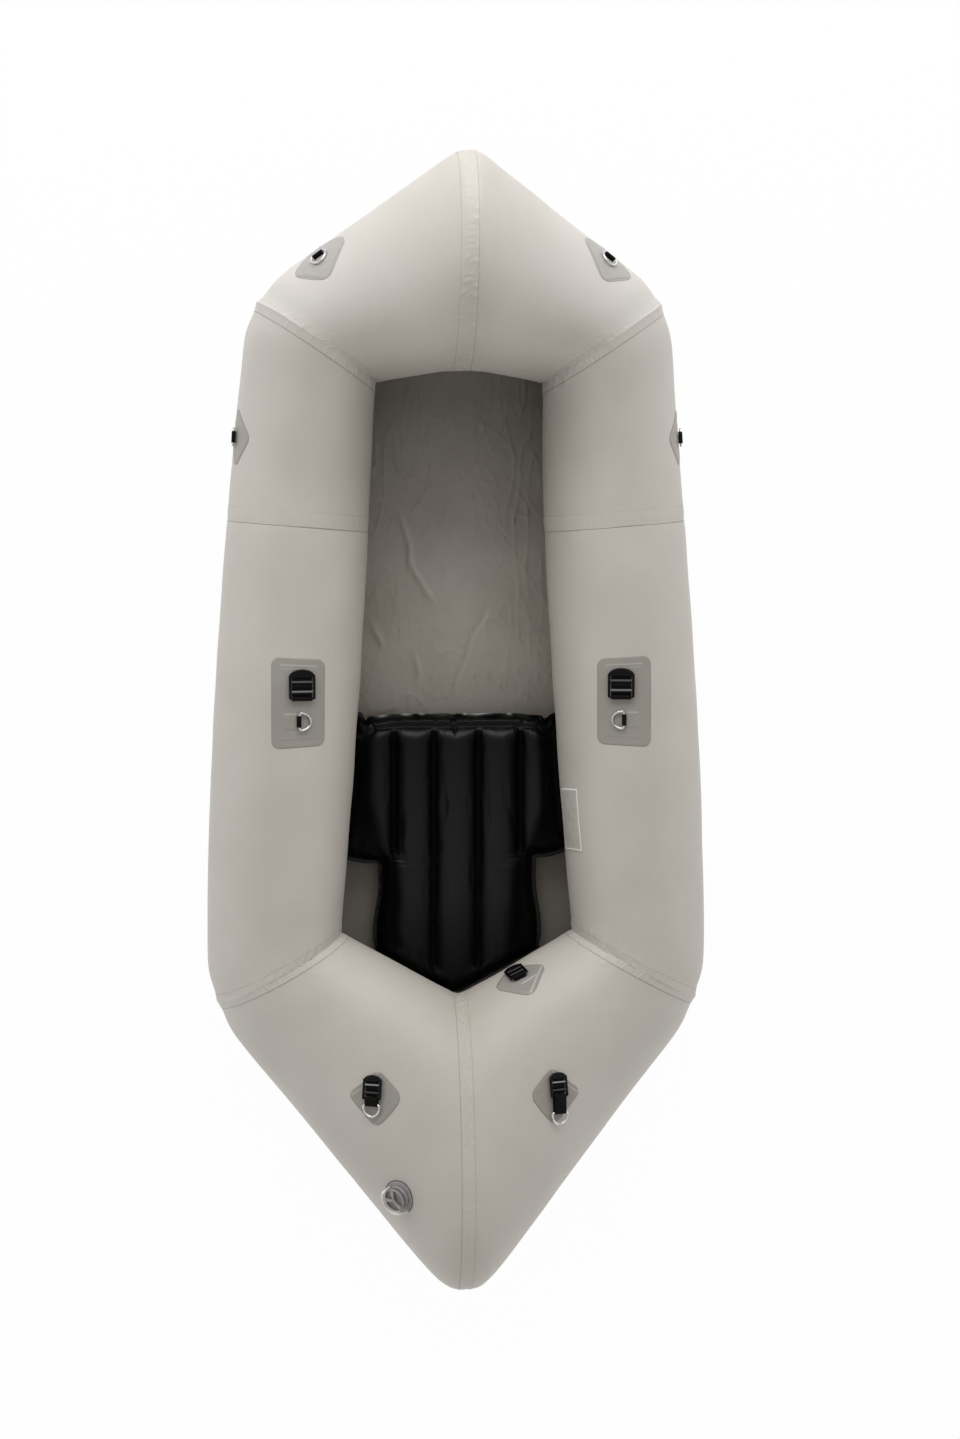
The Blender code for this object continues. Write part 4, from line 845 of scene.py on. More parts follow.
@dataclass(frozen=True)
class HullLines:
    """Plan and profile of the hull in metres, the same as the solids'."""

    length: float = 2.096
    width: float = 0.949
    bow_corner_width: float = 0.782
    cockpit_front_y: float = 0.641
    cockpit_rear_y: float = -0.397
    cockpit_front_width: float = 0.314
    cockpit_rear_width: float = 0.443
    bow_peak: float = 0.018
    stern_notch: float = 0.113
    bow_mitre_skew: float = 0.156
    stern_mitre_skew: float = 0.136
    side_seam_y: float = 0.364
    side_seam_skew: float = 0.021
    bow_tip_round: float = 0.015
    stern_tip_round: float = 0.051
    inner_round: float = 0.003
    corner_round: float = 0.017
    corner_reach: float = 0.045
    straight_share: float = 0.48
    side_power: float = 1.65
    tip_power: float = 3.0
    side_height: float = 0.268
    bow_height: float = 0.325
    stern_height: float = 0.335
    bow_lift: float = 0.155
    stern_lift: float = 0.065
    flat_front_y: float = 0.383
    flat_rear_y: float = -0.339
    floor_thickness: float = 0.0012
    floor_clearance: float = 0.0006
    skin_inset: float = 0.0004

    @property
    def bow_corner_y(self) -> float:
        """Y of the mitre's outer end at the bow."""
        return self.cockpit_front_y + self.bow_mitre_skew

    @property
    def stern_corner_y(self) -> float:
        """Y of the mitre's outer end at the stern."""
        return self.cockpit_rear_y - self.stern_mitre_skew

    @property
    def peak_y(self) -> float:
        """Y of the cockpit's foremost point."""
        return self.cockpit_front_y + self.bow_peak

    @property
    def notch_y(self) -> float:
        """Y of the cockpit's rearmost point."""
        return self.cockpit_rear_y - self.stern_notch

    def vee(self, x: Array, tip: float, end_x: float, end_y: float, rounding: float) -> Array:
        """Y of a V rounded by a power mean at x = 0, through (end_x, end_y)."""
        power = self.tip_power
        apex = tip + rounding
        slope = ((apex - end_y) ** power - rounding ** power) ** (1 / power) / end_x
        return apex - ((slope * x) ** power + rounding ** power) ** (1 / power)

    def outer_x(self, y: Array) -> Array:
        """Half the hull's width: it falls by a power of the distance from its widest place."""
        share = np.abs(y - self.cockpit_rear_y) / (self.bow_corner_y - self.cockpit_rear_y)
        return self.width / 2 - (self.width - self.bow_corner_width) / 2 * share ** self.side_power

    def cockpit_x(self, y: Array) -> Array:
        """Half the cockpit's width: a part straight and a part squared growth to the rear."""
        share = np.maximum((self.cockpit_front_y - y) / (self.cockpit_front_y - self.cockpit_rear_y), 0)
        growth = self.straight_share * share + (1 - self.straight_share) * share ** 2
        return blend(self.cockpit_front_width, self.cockpit_rear_width, growth) / 2

    def _past_flat(self, y: Array) -> tuple[Array, Array, float, float]:
        """Distances past the flat of the floor, and the spans up to each tube's middle."""
        bow_span = (self.length / 2 + self.peak_y) / 2 - self.flat_front_y
        stern_span = self.flat_rear_y - (self.notch_y - self.length / 2) / 2
        ahead = np.maximum(y - self.flat_front_y, 0)
        behind = np.maximum(self.flat_rear_y - y, 0)
        return ahead, behind, bow_span, stern_span

    def floor_line(self, y: Array) -> Array:
        """Height of the floor's underside: level amidships, a parabola up to each end."""
        ahead, behind, bow_span, stern_span = self._past_flat(y)
        return self.bow_lift * (ahead / bow_span) ** 2 + self.stern_lift * (behind / stern_span) ** 2

    def floor_slope(self, y: Array) -> Array:
        """Slope of the floor's underside along Y."""
        ahead, behind, bow_span, stern_span = self._past_flat(y)
        return 2 * (self.bow_lift * ahead / bow_span ** 2 - self.stern_lift * behind / stern_span ** 2)

    def plan(self, area: Area, share: Array) -> tuple[Array, Array]:
        """Outer and inner plan points of a panel's sections, for the right side."""
        if area is Area.BOW:
            inner_end = self.cockpit_front_width / 2
            outer_x = self.bow_corner_width / 2 * share
            inner_x = inner_end * share
            outer_y = self.vee(outer_x, self.length / 2, self.bow_corner_width / 2, self.bow_corner_y,
                               self.bow_tip_round)
            inner_y = self.vee(inner_x, self.peak_y, inner_end, self.cockpit_front_y, self.inner_round)
        elif area is Area.STERN:
            outer_end = self.outer_x(np.array(self.stern_corner_y))
            inner_end = self.cockpit_rear_width / 2
            outer_x = outer_end * (1 - share)
            inner_x = inner_end * (1 - share)
            outer_y = -self.vee(outer_x, self.length / 2, outer_end, -self.stern_corner_y,
                                self.stern_tip_round)
            inner_y = -self.vee(inner_x, -self.notch_y, inner_end, -self.cockpit_rear_y, self.inner_round)
        else:
            outer_seam = self.side_seam_y + self.side_seam_skew
            if area is Area.SIDE_FRONT:
                outer_y = blend(self.bow_corner_y, outer_seam, share)
                inner_y = blend(self.cockpit_front_y, self.side_seam_y, share)
            else:
                outer_y = blend(outer_seam, self.stern_corner_y, share)
                inner_y = blend(self.side_seam_y, self.cockpit_rear_y, share)
            outer_x = self.outer_x(outer_y)
            inner_x = self.cockpit_x(inner_y)
        return stacked(outer_x, outer_y), stacked(inner_x, inner_y)

    def tube_height(self, area: Area, share: Array) -> Array:
        """Height of the tube: the side's, easing up to the bow's or the stern's middle."""
        swell = (1 - np.cos(math.pi * share)) / 2
        if area is Area.BOW:
            return blend(self.bow_height, self.side_height, swell)
        if area is Area.STERN:
            return blend(self.side_height, self.stern_height, swell)
        return np.full(np.shape(share), self.side_height)


@dataclass(frozen=True)
class TubePanel:
    """One panel of the tube: ellipses in upright planes that stand on the floor's line."""

    lines: HullLines
    area: Area
    side: Side

    ROUNDED = {Area.BOW: (False, True), Area.SIDE_FRONT: (True, False), Area.SIDE_REAR: (False, True),
               Area.STERN: (True, False)}

    @property
    def node(self) -> str:
        """The CAD node that this panel stands for."""
        return self.area.value + "_tube_" + self.side.label

    def lengths(self) -> tuple[float, float]:
        """Straight lengths of the panel outside and inside."""
        outer, inner = self.lines.plan(self.area, np.array((0.0, 1.0)))
        return float(np.linalg.norm(outer[1] - outer[0])), float(np.linalg.norm(inner[1] - inner[0]))

    def run(self, shares: Array) -> tuple[Array, Array, Array, Array, Array]:
        """Centre, outward axis, upward axis, half width and half height at some shares.

        The plane of a section is upright and holds its outer and inner plan points. Its
        ellipse is tilted with the floor's slope, and its lowest point touches the floor.
        """
        lines = self.lines
        outer, inner = lines.plan(self.area, shares)
        outer_length = self.lengths()[0]
        cut = np.zeros(np.shape(shares))
        for rounded, distance in zip(self.ROUNDED[self.area], (shares, 1 - shares)):
            if rounded:
                cut = cut + lines.corner_round * hump(distance * outer_length, lines.corner_reach)
        outer = outer + unit(inner - outer) * cut[..., None]
        middle = (outer + inner) / 2
        half_plan = np.linalg.norm(outer - inner, axis=-1) / 2
        plan = (outer - inner) / (2 * half_plan[..., None])
        half_height = lines.tube_height(self.area, shares) / 2
        touch = middle[..., 1]
        for _ in range(6):
            tilt = np.arctan(lines.floor_slope(touch) * plan[..., 1])
            touch = middle[..., 1] + half_height * np.sin(tilt) * plan[..., 1]
        half_width = np.sqrt(half_plan ** 2 - (half_height * np.sin(tilt)) ** 2) / np.cos(tilt)
        floor_top = lines.floor_thickness + lines.floor_clearance
        rise = lines.floor_line(touch) + floor_top + half_height * np.cos(tilt)
        sign = self.side.value
        centre = stacked(sign * middle[..., 0], middle[..., 1], rise)
        flat = stacked(sign * plan[..., 0], plan[..., 1], 0.0)
        outward = flat * np.cos(tilt)[..., None] + UPWARD * np.sin(tilt)[..., None]
        upward = UPWARD * np.cos(tilt)[..., None] - flat * np.sin(tilt)[..., None]
        return centre, outward, upward, half_width, half_height

    def points(self, shares: Array, angles: Array, offset: Any = 0.0) -> Array:
        """Points of the ellipses, moved off them; angle 0 is outboard and a quarter turn is up."""
        centre, outward, upward, half_width, half_height = self.run(shares)
        off = np.asarray(offset) - self.lines.skin_inset
        across = (half_width + off) * np.cos(angles)
        over = (half_height + off) * np.sin(angles)
        return centre + outward * across[..., None] + upward * over[..., None]

    def tangents(self, shares: Array, angles: Array, step: float = 0.004,
                 turn: float = 0.01) -> tuple[Array, Array]:
        """Differences of the skin's points for one of share and for one of angle."""
        along = self.points(shares + step, angles) - self.points(shares - step, angles)
        around = self.points(shares, angles + turn) - self.points(shares, angles - turn)
        return along / (2 * step), around / (2 * turn)

    def normals(self, shares: Array, angles: Array) -> Array:
        """Outward directions of the skin, across its two tangents."""
        facing = unit(np.cross(*self.tangents(shares, angles)))
        away = self.points(shares, angles) - self.run(shares)[0]
        return facing * np.sign((facing * away).sum(axis=-1))[..., None]

    def relief(self, shares: Array, angles: Array) -> Array:
        """Height of the skin's own relief: slow swells, and puckers that fade from each seam.

        A pucker field is the part of a ripple above a threshold, narrow round the tube and long
        along it, and is strongest at the seam and on the inside of the bend.
        """
        along = np.linalg.norm(self.tangents(np.clip(shares, 0.01, 0.99), angles)[0], axis=-1)
        seed = 10 * list(Area).index(self.area) + self.side.value
        swells = Ripples(40 + seed, 0.17).at(shares * along, angles * TUBE_RADIUS) * 0.00035
        pucker = np.zeros(np.shape(swells))
        for end, strength in enumerate(SEAM_PUCKERS[self.area]):
            distance = np.abs(shares - end) * along
            folds = Ripples(70 + seed + 3 * end, 0.016, 3.0).at(angles * TUBE_RADIUS, distance)
            inner = 0.35 + 0.65 * eased((1 - np.cos(angles)) / 2)
            pucker += strength * inner * np.maximum(np.abs(folds) - 0.35, 0) * hump(distance, 0.034)
            pucker -= 0.0008 * hump(distance, 0.010)
        return swells + pucker

    def shade(self, shares: Array, angles: Array) -> Array:
        """Painted light and shade: painted shade dulls the cloth inboard near the bow; painted light makes
        it paler outboard and at the stern corner.
        """
        shares = np.clip(shares, 0, 1)
        inboard = blend(*INBOARD_PAINTED_LIGHT_AND_SHADE[self.area], shares) * eased((-np.cos(angles) - 0.1) / 0.6)
        return inboard + blend(*OUTBOARD_PAINTED_LIGHT[self.area], shares) * eased((np.cos(angles) - 0.1) / 0.7)

    def skin(self, shares: Array, angles: Array, offset: Any = 0.0) -> Array:
        """Points of the finished skin: the ellipses, their relief and an offset."""
        shares, angles = np.broadcast_arrays(shares, angles)
        return self.points(shares, angles, self.relief(shares, angles) + offset)


SEAM_PUCKERS = {Area.BOW: (0.0011, 0.0008), Area.SIDE_FRONT: (0.0011, 0.0003),
                Area.SIDE_REAR: (0.0003, 0.0012), Area.STERN: (0.0009, 0.0009)}
# Painted light and shade of each area, at its start and its end: below zero painted shade, above zero
# painted light.
INBOARD_PAINTED_LIGHT_AND_SHADE = {Area.BOW: (-0.16, -0.20), Area.SIDE_FRONT: (-0.20, -0.02),
                 Area.SIDE_REAR: (0.0, 0.05), Area.STERN: (0.16, 0.0)}
OUTBOARD_PAINTED_LIGHT = {Area.BOW: (0.10, 0.26), Area.SIDE_FRONT: (0.16, 0.10),
                  Area.SIDE_REAR: (0.10, 0.10), Area.STERN: (0.14, 0.04)}
HULL = HullLines()
PANELS = {(area, side): TubePanel(HULL, area, side) for area in Area for side in Side}


@dataclass
class Hull:
    """The eight tube panels and the eight tapes over their seams."""

    rows: int = 150
    columns: int = 210
    wall: float = 0.0009
    tape_lift: float = 0.0002
    tape_thickness: float = 0.0004
    tape_rows: int = 420
    tape_columns: int = 42
    tape_width: float = 0.030
    tape_edge: float = 0.0012
    edge_shadow_inset: float = 0.0005
    edge_shadow_width: float = 0.0008
    open_turn: float = math.radians(60)

    def build_tube(self, panel: TubePanel) -> Piece:
        """One panel: a grid of shares, closer at the seams, by angles, with the wall inwards."""
        even = np.linspace(0, 1, self.rows)
        shares = (even - 0.10 * np.sin(WHOLE * even) / math.pi)[:, None]
        angles = (WHOLE * np.arange(self.columns) / self.columns)[None, :]
        grid = panel.skin(shares, angles)
        outer_length, inner_length = panel.lengths()
        length = (outer_length + inner_length) / 2
        u, v = np.meshgrid(shares[:, 0] * length, np.linspace(0, WHOLE * TUBE_RADIUS, self.columns + 1),
                           indexing="ij")
        centre = panel.run(shares)[0]
        shell = grid_shell(grid, wrap_columns=True, uv=stacked(u, v))
        shell = shell.facing((grid - centre).reshape(-1, 3))
        tube = object_of(panel.node + "_skin", shell, Slot.HULL)
        # Painted light and shade: the cloth is painted duller inboard near the bow and paler outboard.
        paint(tube, "tone", panel.shade(shares, angles))
        thicken(tube, self.wall)
        settle(tube, "hull", panel.node)
        return tube

    def build_tape(self, name: str, before: tuple[TubePanel, int], after: tuple[TubePanel, int],
                   shift: float, painted_edge_shade: tuple[float, float], width: float) -> Piece:
        """A tape over one seam, of even width, measured along the skin on each side of it.

        Args:
            name: the CAD node.
            before: the panel on the tape's first edge, and its end at the seam.
            after: the panel on the other edge, and its end there.
            shift: metres that the tape is moved towards the second panel.
            painted_edge_shade: how dark the painted shadow line along each edge is.
            width: the tape's width.

        Returns:
            The tape.
        """
        angles = np.linspace(-QUARTER + self.open_turn / 2, 3 * QUARTER - self.open_turn / 2, self.tape_rows)
        across = -width / 2 * np.cos(np.linspace(0, math.pi, self.tape_columns)) + shift
        grids, aways, tones = [], [], []
        for (panel, end), chosen in ((before, across[across < 0]), (after, across[across >= 0])):
            inward = 1 if end == 0 else -1
            near = np.full(angles.shape, end + inward * 0.02)
            metres = np.linalg.norm(panel.tangents(near, angles)[0], axis=-1)
            shares = end + inward * np.abs(chosen)[None, :] / metres[:, None]
            turns = np.broadcast_to(angles[:, None], shares.shape)
            edge = np.minimum(chosen - across[0], across[-1] - chosen)[None, :]
            lift = self.tape_lift + self.tape_thickness * np.clip(edge / self.tape_edge, 0, 1) ** 0.5
            spread = np.broadcast_to(chosen, shares.shape)
            gather = Ripples(len(name) * 7, 0.012, 4).at(turns * TUBE_RADIUS, spread)
            lift = lift + 0.00010 * np.maximum(gather - 0.5, 0)
            grids.append(panel.skin(shares, turns, lift))
            aways.append(grids[-1] - panel.run(shares)[0])
            tones.append(panel.shade(shares, turns))
        grid = np.concatenate(grids, axis=1)
        u, v = np.meshgrid(angles * TUBE_RADIUS, across, indexing="ij")
        shell = grid_shell(grid, uv=stacked(u, v))
        shell = shell.facing(np.concatenate(aways, axis=1).reshape(-1, 3))
        tape = object_of(name + "_band", shell, Slot.TAPE)
        # Painted light and shade: the panels' painted tones, and a painted shadow line along each edge where
        # the raised tape edge is shaded.
        tone = np.concatenate(tones, axis=1)
        for edge_shadow_depth, inset in zip(painted_edge_shade, (across - across[0], across[-1] - across)):
            tone = tone - edge_shadow_depth * hump(inset - self.edge_shadow_inset, self.edge_shadow_width)
        paint(tape, "tone", tone)
        thicken(tape, self.tape_thickness)
        settle(tape, "hull", name)
        return tape

    def build(self) -> None:
        """Every tube panel and every tape."""
        for panel in PANELS.values():
            self.build_tube(panel)
        for name, area, end, shift, painted_edge_shade, width in (
                ("bow", Area.BOW, 0, -0.006, (0.20, 0.28), 0.033),
                ("stern", Area.STERN, 1, 0.0, (0.36, 0.20), 0.026)):
            self.build_tape(name + "_seam_tape", (PANELS[area, Side.LEFT], end),
                            (PANELS[area, Side.RIGHT], end), shift, painted_edge_shade, width)
        joints = (("bow_corner", Area.BOW, Area.SIDE_FRONT, 0.006, (0.16, 0.55)),
                  ("side_seam", Area.SIDE_FRONT, Area.SIDE_REAR, -0.013, (0.16, 0.40)),
                  ("stern_corner", Area.SIDE_REAR, Area.STERN, 0.0, (0.30, 0.50)))
        for side in Side:
            for name, first, second, shift, painted_edge_shade in joints:
                self.build_tape(name + "_tape_" + side.label, (PANELS[first, side], 1),
                                (PANELS[second, side], 0), shift, painted_edge_shade, self.tape_width)


CREASES = (((-0.107, 0.413), (-0.078, 0.328), (-0.084, 0.304), (-0.050, 0.248), (-0.026, 0.213)),
           ((-0.163, 0.201), (-0.141, 0.157), (-0.129, 0.122)),
           ((-0.077, 0.139), (-0.061, 0.089), (-0.067, 0.054)),
           ((0.077, 0.231), (0.060, 0.191), (0.036, 0.157), (0.031, 0.122), (0.009, 0.077), (0.003, 0.036)),
           ((0.071, 0.122), (0.077, 0.089), (0.082, 0.054)),
           ((0.179, 0.202), (0.162, 0.180), (0.157, 0.157), (0.168, 0.133), (0.185, 0.122), (0.193, 0.089),
            (0.197, 0.042)),
           ((0.179, 0.328), (0.162, 0.282), (0.139, 0.225)),
           ((0.122, 0.602), (0.150, 0.590), (0.168, 0.565)),
           ((0.036, 0.590), (0.054, 0.567), (0.050, 0.520)))
# Painted light and shade on the floor by Y: darker towards the bow and the stern, a little paler amidships.
FLOOR_PAINTED_LIGHT_AND_SHADE = np.array(((-1.2, -0.38), (-0.45, -0.40), (-0.25, -0.34), (-0.05, -0.22), (0.04, -0.18),
                        (0.138, 0.02), (0.31, 0.08), (0.463, -0.10), (0.617, -0.44), (0.9, -0.5)))


@dataclass
class Floor:
    """The floor sheet, welded to the underside of the tubes, with soft wrinkles amidships."""

    rows: int = 330
    columns: int = 150
    lap: float = 0.028
    thickness: float = 0.0012
    wrinkle: float = 0.0022
    crease_height: float = 0.0026
    crease_width: float = 0.0062

    def creases(self, x: Array, y: Array) -> tuple[Array, Array]:
        """Height and tone of the sheet's creases: a ridge along each path, with painted light on one side
        and painted shade on the other.
        """
        height, tone = np.zeros(x.shape), np.zeros(x.shape)
        for corners in CREASES:
            path = chaikin(np.array(corners), 2, False)
            nearest, signed = np.full(x.shape, 9.0), np.zeros(x.shape)
            for start, step in zip(path[:-1], np.diff(path, axis=0)):
                beside, ahead = gaps(x, y, start, step)
                distance = np.hypot(beside, ahead)
                across = np.sign(ahead * step[0] - beside * step[1]) * distance
                signed = np.where(distance < nearest, across, signed)
                nearest = np.minimum(nearest, distance)
            ends = [eased(np.hypot(x - end[0], y - end[1]) / 0.045) for end in (path[0], path[-1])]
            ridge = np.exp(-((nearest / self.crease_width) ** 2)) * ends[0] * ends[1]
            height += ridge
            tone += ridge * np.clip(signed / self.crease_width, -1, 1)
        return height * self.crease_height, tone

    def half_width(self, y: Array) -> Array:
        """Half the sheet's width: the tubes' lowest line and a lap beyond it."""
        places = []
        for area in Area:
            shares = np.linspace(0, 1, 60)
            places.append(PANELS[area, Side.RIGHT].points(shares, np.full(60, -QUARTER)))
        line = np.vstack(places)
        line = line[np.argsort(line[:, 1])]
        return np.interp(y, line[:, 1], line[:, 0])

    def build(self) -> Piece:
        """A grid of rows along Y by columns across, lifted where nothing rests on it.

        Wrinkles are the crests of ripples that run lengthwise and aslant, and fade to
        nothing under the tubes and the seat.
        """
        front, back = (float(PANELS[area, Side.RIGHT].points(np.array(end), np.array(-QUARTER))[1])
                       for area, end in ((Area.BOW, 0.0), (Area.STERN, 1.0)))
        y = np.interp(np.linspace(0, 1, self.rows), (0, 0.14, 0.74, 1), (front, 0.62, -0.04, back))[:, None]
        half = self.half_width(y[:, 0])[:, None]
        share = np.linspace(-1, 1, self.columns)[None, :]
        share = np.interp(share, (-1, -0.74, 0.74, 1), (-1, -0.56, 0.56, 1))
        x = (half + self.lap) * share
        y = np.broadcast_to(y, x.shape)
        inside = eased((half - np.abs(x) - 0.02) / 0.07)
        inside = inside * eased((y + 0.02) / 0.06) * eased((0.82 - y) / 0.1)
        lengthwise = np.abs(Ripples(5, 0.045, 5).at(x, y))
        aslant = np.abs(Ripples(6, 0.060, 4).at(x * 0.86 + y * 0.5, y * 0.86 - x * 0.5))
        slow = Ripples(8, 0.24, 1.6).at(x, y)
        crests = np.maximum(1 - lengthwise * 3.2, 0) ** 2 + 0.8 * np.maximum(1 - aslant * 3.4, 0) ** 2
        lift = inside * (self.wrinkle * crests + 0.0015 * (slow + 1.2))
        height, ridges = self.creases(x, y)
        z = HULL.floor_line(y) + self.thickness - 0.0001 + lift + inside * height
        shell = grid_shell(stacked(x, y, z), uv=stacked(x, y)).facing(UPWARD)
        floor = object_of("floor_cloth_sheet", shell, Slot.FLOOR)
        # Painted shade: the floor is darker towards the bow and the stern and beside the tubes, with painted
        # light and shade on the creases.
        painted_floor_light_and_shade = np.interp(y, *FLOOR_PAINTED_LIGHT_AND_SHADE.T) - 0.12 * np.clip(np.abs(x) / 0.17, 0, 1) ** 2
        paint(floor, "tone", np.maximum(painted_floor_light_and_shade, -0.6) + 0.30 * ridges)
        thicken(floor, self.thickness - 0.0002)
        settle(floor, "hull", "floor_sheet")
        width = 2 * float((self.half_width(y[:, 0]) + self.lap).max())
        return floor


# The seat pad


@dataclass
class SeatPad:
    """The inflated pad: a T of five channels, swollen by cloth simulation, with a welded rim."""

    front_y: float = 0.0045
    wing_length: float = 0.270
    tuck: float = 0.022
    draw_in: float = 0.004
    tail_half: float = 0.1462
    tail_flare: float = 0.0105
    tail_middle: float = 0.0090
    tail_tuck: float = 0.020
    shoulder: float = 0.030
    thickness: float = 0.062
    tail_thickness: float = 0.045
    seam_share: float = 0.42
    edge_round: float = 0.027
    front_round: float = 0.042
    floor_gap: float = 0.0009
    welds: tuple[float, ...] = (-0.114, -0.037, 0.049, 0.130)
    weld_depth: float = 0.66
    notches: tuple[float, ...] = (-0.169, 0.180)
    voxel: float = 0.0048
    cap: float = 0.0045
    frames: int = 20
    rows: int = 200
    columns: int = 160

    @property
    def wing_rear(self) -> float:
        """Y of the rear edge of the wings."""
        return self.front_y - self.wing_length

    def rear_edge(self, x: Array) -> Array:
        """Y of the wings' rear edge: the left wing reaches further back than the right."""
        return self.wing_rear - 0.0035 - 0.0045 * np.tanh(-x / 0.06)

    def front_edge(self, x: Array) -> Array:
        """Y of the front edge: drawn in a little, with a notch before each corner's ear."""
        edge = self.front_y - 0.004 * eased((np.abs(x - 0.006) - 0.11) / 0.05)
        for notch in self.notches:
            edge = edge - 0.011 * np.maximum(1 - np.abs(x - notch) / 0.010, 0)
        ears = eased((np.abs(x - 0.006) - 0.172) / 0.02)
        return edge + 0.010 * ears - 0.0022 * np.maximum(1 - np.abs(x - 0.001) / 0.007, 0)

    def tail_end(self, x: Array) -> Array:
        """Y of the tail's end, just under the stern tubes."""
        end = HULL.vee(np.abs(x), -HULL.notch_y, HULL.cockpit_rear_width / 2, -HULL.cockpit_rear_y,
                       HULL.inner_round)
        return -end - self.tail_tuck

    def half(self, share: Array) -> tuple[Array, Array]:
        """Half the width and its middle at a share down the wings, 0 to 1, then the tail, 1 to 2.

        The wings follow the tubes and round off to the tail over the shoulder's radius.
        """
        y = self.front_y - np.minimum(share, 1) * self.wing_length
        wing = HULL.cockpit_x(y) + self.tuck - self.draw_in * np.sin(math.pi * np.minimum(share, 1))
        left = np.clip((1 - share) * self.wing_length / self.shoulder, 0, 1)
        rounded = np.sqrt(1 - (1 - left) ** 2)
        tail = self.tail_half + self.tail_flare * eased((share - 1.25) / 0.5)
        return blend(tail, wing, rounded), self.tail_middle * (1 - rounded)

    def plan(self) -> tuple[Array, Array, Array]:
        """X and Y of the pad's grid, and the closed line round it."""
        share = np.linspace(0, 2, self.rows)[:, None]
        across = np.linspace(-1, 1, self.columns)[None, :]
        half, middle = self.half(share)
        x = middle + half * across
        front = blend(self.front_edge(x), self.rear_edge(x), np.minimum(share, 1))
        y = np.where(share <= 1, front, blend(self.rear_edge(x), self.tail_end(x), share - 1))
        grid = stacked(x, y)
        line = np.vstack((grid[0], grid[1:, -1], grid[-1, -2::-1], grid[-2:0:-1, 0]))
        return x, y, line

    def depth(self, x: Array, y: Array, line: Array) -> Array:
        """Distance to the outline, the least over its runs."""
        nearest = np.full(np.shape(x), 1.0)
        for start, end in zip(line, np.roll(line, -1, axis=0)):
            nearest = np.minimum(nearest, np.hypot(*gaps(x, y, start, end - start)))
        return nearest

    def valleys(self, x: Array, y: Array, depth: Array) -> Array:
        """Share of the crown that the welds take away: the groove between two round channels.

        1 - sqrt(1 - (1 - r)^2), r the distance to the weld over half a channel, faded out at
        the pad's edges and, for the outer welds, down the tail.
        """
        taken = np.zeros(np.shape(x))
        fade = eased((depth - 0.014) / 0.024) * eased((self.front_y - 0.024 - y) / 0.03)
        for weld in self.welds:
            drift = (0.008 if weld < 0 else -0.002) * (abs(weld) > 0.1)
            path = weld + drift * eased((self.wing_rear - y) / 0.2)
            share = np.clip(np.abs(x - path) / 0.040, 0, 1)
            groove = 1 - np.sqrt(1 - (1 - share) ** 2)
            outer = 1 - 0.55 * eased((self.wing_rear + 0.02 - y) / 0.03) * (abs(weld) > 0.1)
            taken = np.maximum(taken, groove * outer)
        return self.weld_depth * taken * fade

    def heights(self, x: Array, y: Array, depth: Array) -> tuple[Array, Array]:
        """Heights of the upper and lower faces: quarter ellipses up from and down from the rim."""
        share = np.minimum(depth / self.edge_round, (self.front_y + 0.003 - y) / self.front_round)
        share = np.clip(share, 0, 1)
        crown = np.sqrt(1 - (1 - share) ** 2)
        back = np.clip((self.wing_rear + 0.03 - y) / (self.wing_rear + 0.03 - HULL.notch_y), 0, 1)
        thickness = blend(self.thickness, self.tail_thickness, eased(back * 1.2))
        seam = thickness * self.seam_share
        base = HULL.floor_line(y) + HULL.floor_thickness + self.floor_gap
        upper = base + seam + (thickness - seam) * (1 - self.valleys(x, y, depth)) * crown
        return upper, base + seam * (1 - crown)

    def seam_height(self, y: Array) -> Array:
        """Height of the rim's weld."""
        depth = np.zeros(np.shape(y))
        return self.heights(np.zeros(np.shape(y)), y, depth)[0]

    def start(self, line: Array, x: Array, y: Array) -> Shell:
        """The pad before it swells: the two faces, a little flatter, joined along the rim."""
        depth = self.depth(x, y, line)
        upper, lower = self.heights(x, y, depth)
        middle = self.seam_height(y)
        upper = middle + (upper - middle) * 0.90
        lower = middle + (lower - middle) * 0.93
        rows, columns = x.shape
        quads = grid_quads(rows, columns, False, False)
        top = stacked(x, y, upper).reshape(-1, 3)
        bottom = stacked(x, y, lower).reshape(-1, 3)
        return Shell(np.vstack((top, bottom)), [quads[:, ::-1], quads + rows * columns]).closed_out()

    def swell(self, pad: Piece, line: Array) -> None:
        """Blow the pad up as cloth, held along its welds and rim, each point moved up to the cap."""
        points = points_of(pad)
        depth = self.depth(points[:, 0], points[:, 1], line)
        upper, lower = self.heights(points[:, 0], points[:, 1], depth)
        on_top = points[:, 2] > (upper + lower) / 2
        on_weld = np.min([np.abs(points[:, 0] - weld) for weld in self.welds], axis=0) < 0.0035
        held = (on_top & on_weld & (depth > 0.03)) | (depth < 0.004)
        group = pad.vertex_groups.new(name="held")
        group.add(np.flatnonzero(held).tolist(), 1.0, "REPLACE")
        cloth = pad.modifiers.new("swell", "CLOTH")
        settings = cloth.settings
        settings.quality = 6
        settings.mass = 0.25
        settings.tension_stiffness = 18
        settings.compression_stiffness = 12
        settings.bending_stiffness = 0.35
        settings.use_pressure = True
        settings.uniform_pressure_force = 4
        settings.vertex_group_mass = "held"
        settings.effector_weights.gravity = 0
        cloth.collision_settings.use_collision = False
        scene = bpy.context.scene
        for number in range(1, self.frames + 1):
            scene.frame_set(number)
        graph = bpy.context.evaluated_depsgraph_get()
        moved = points_of(pad.evaluated_get(graph)) - points
        length = np.linalg.norm(moved, axis=-1, keepdims=True)
        points = points + moved * np.minimum(1, self.cap / np.maximum(length, 1e-9))
        pad.modifiers.clear()
        pad.vertex_groups.clear()
        scene.frame_set(1)
        set_points(pad, points)

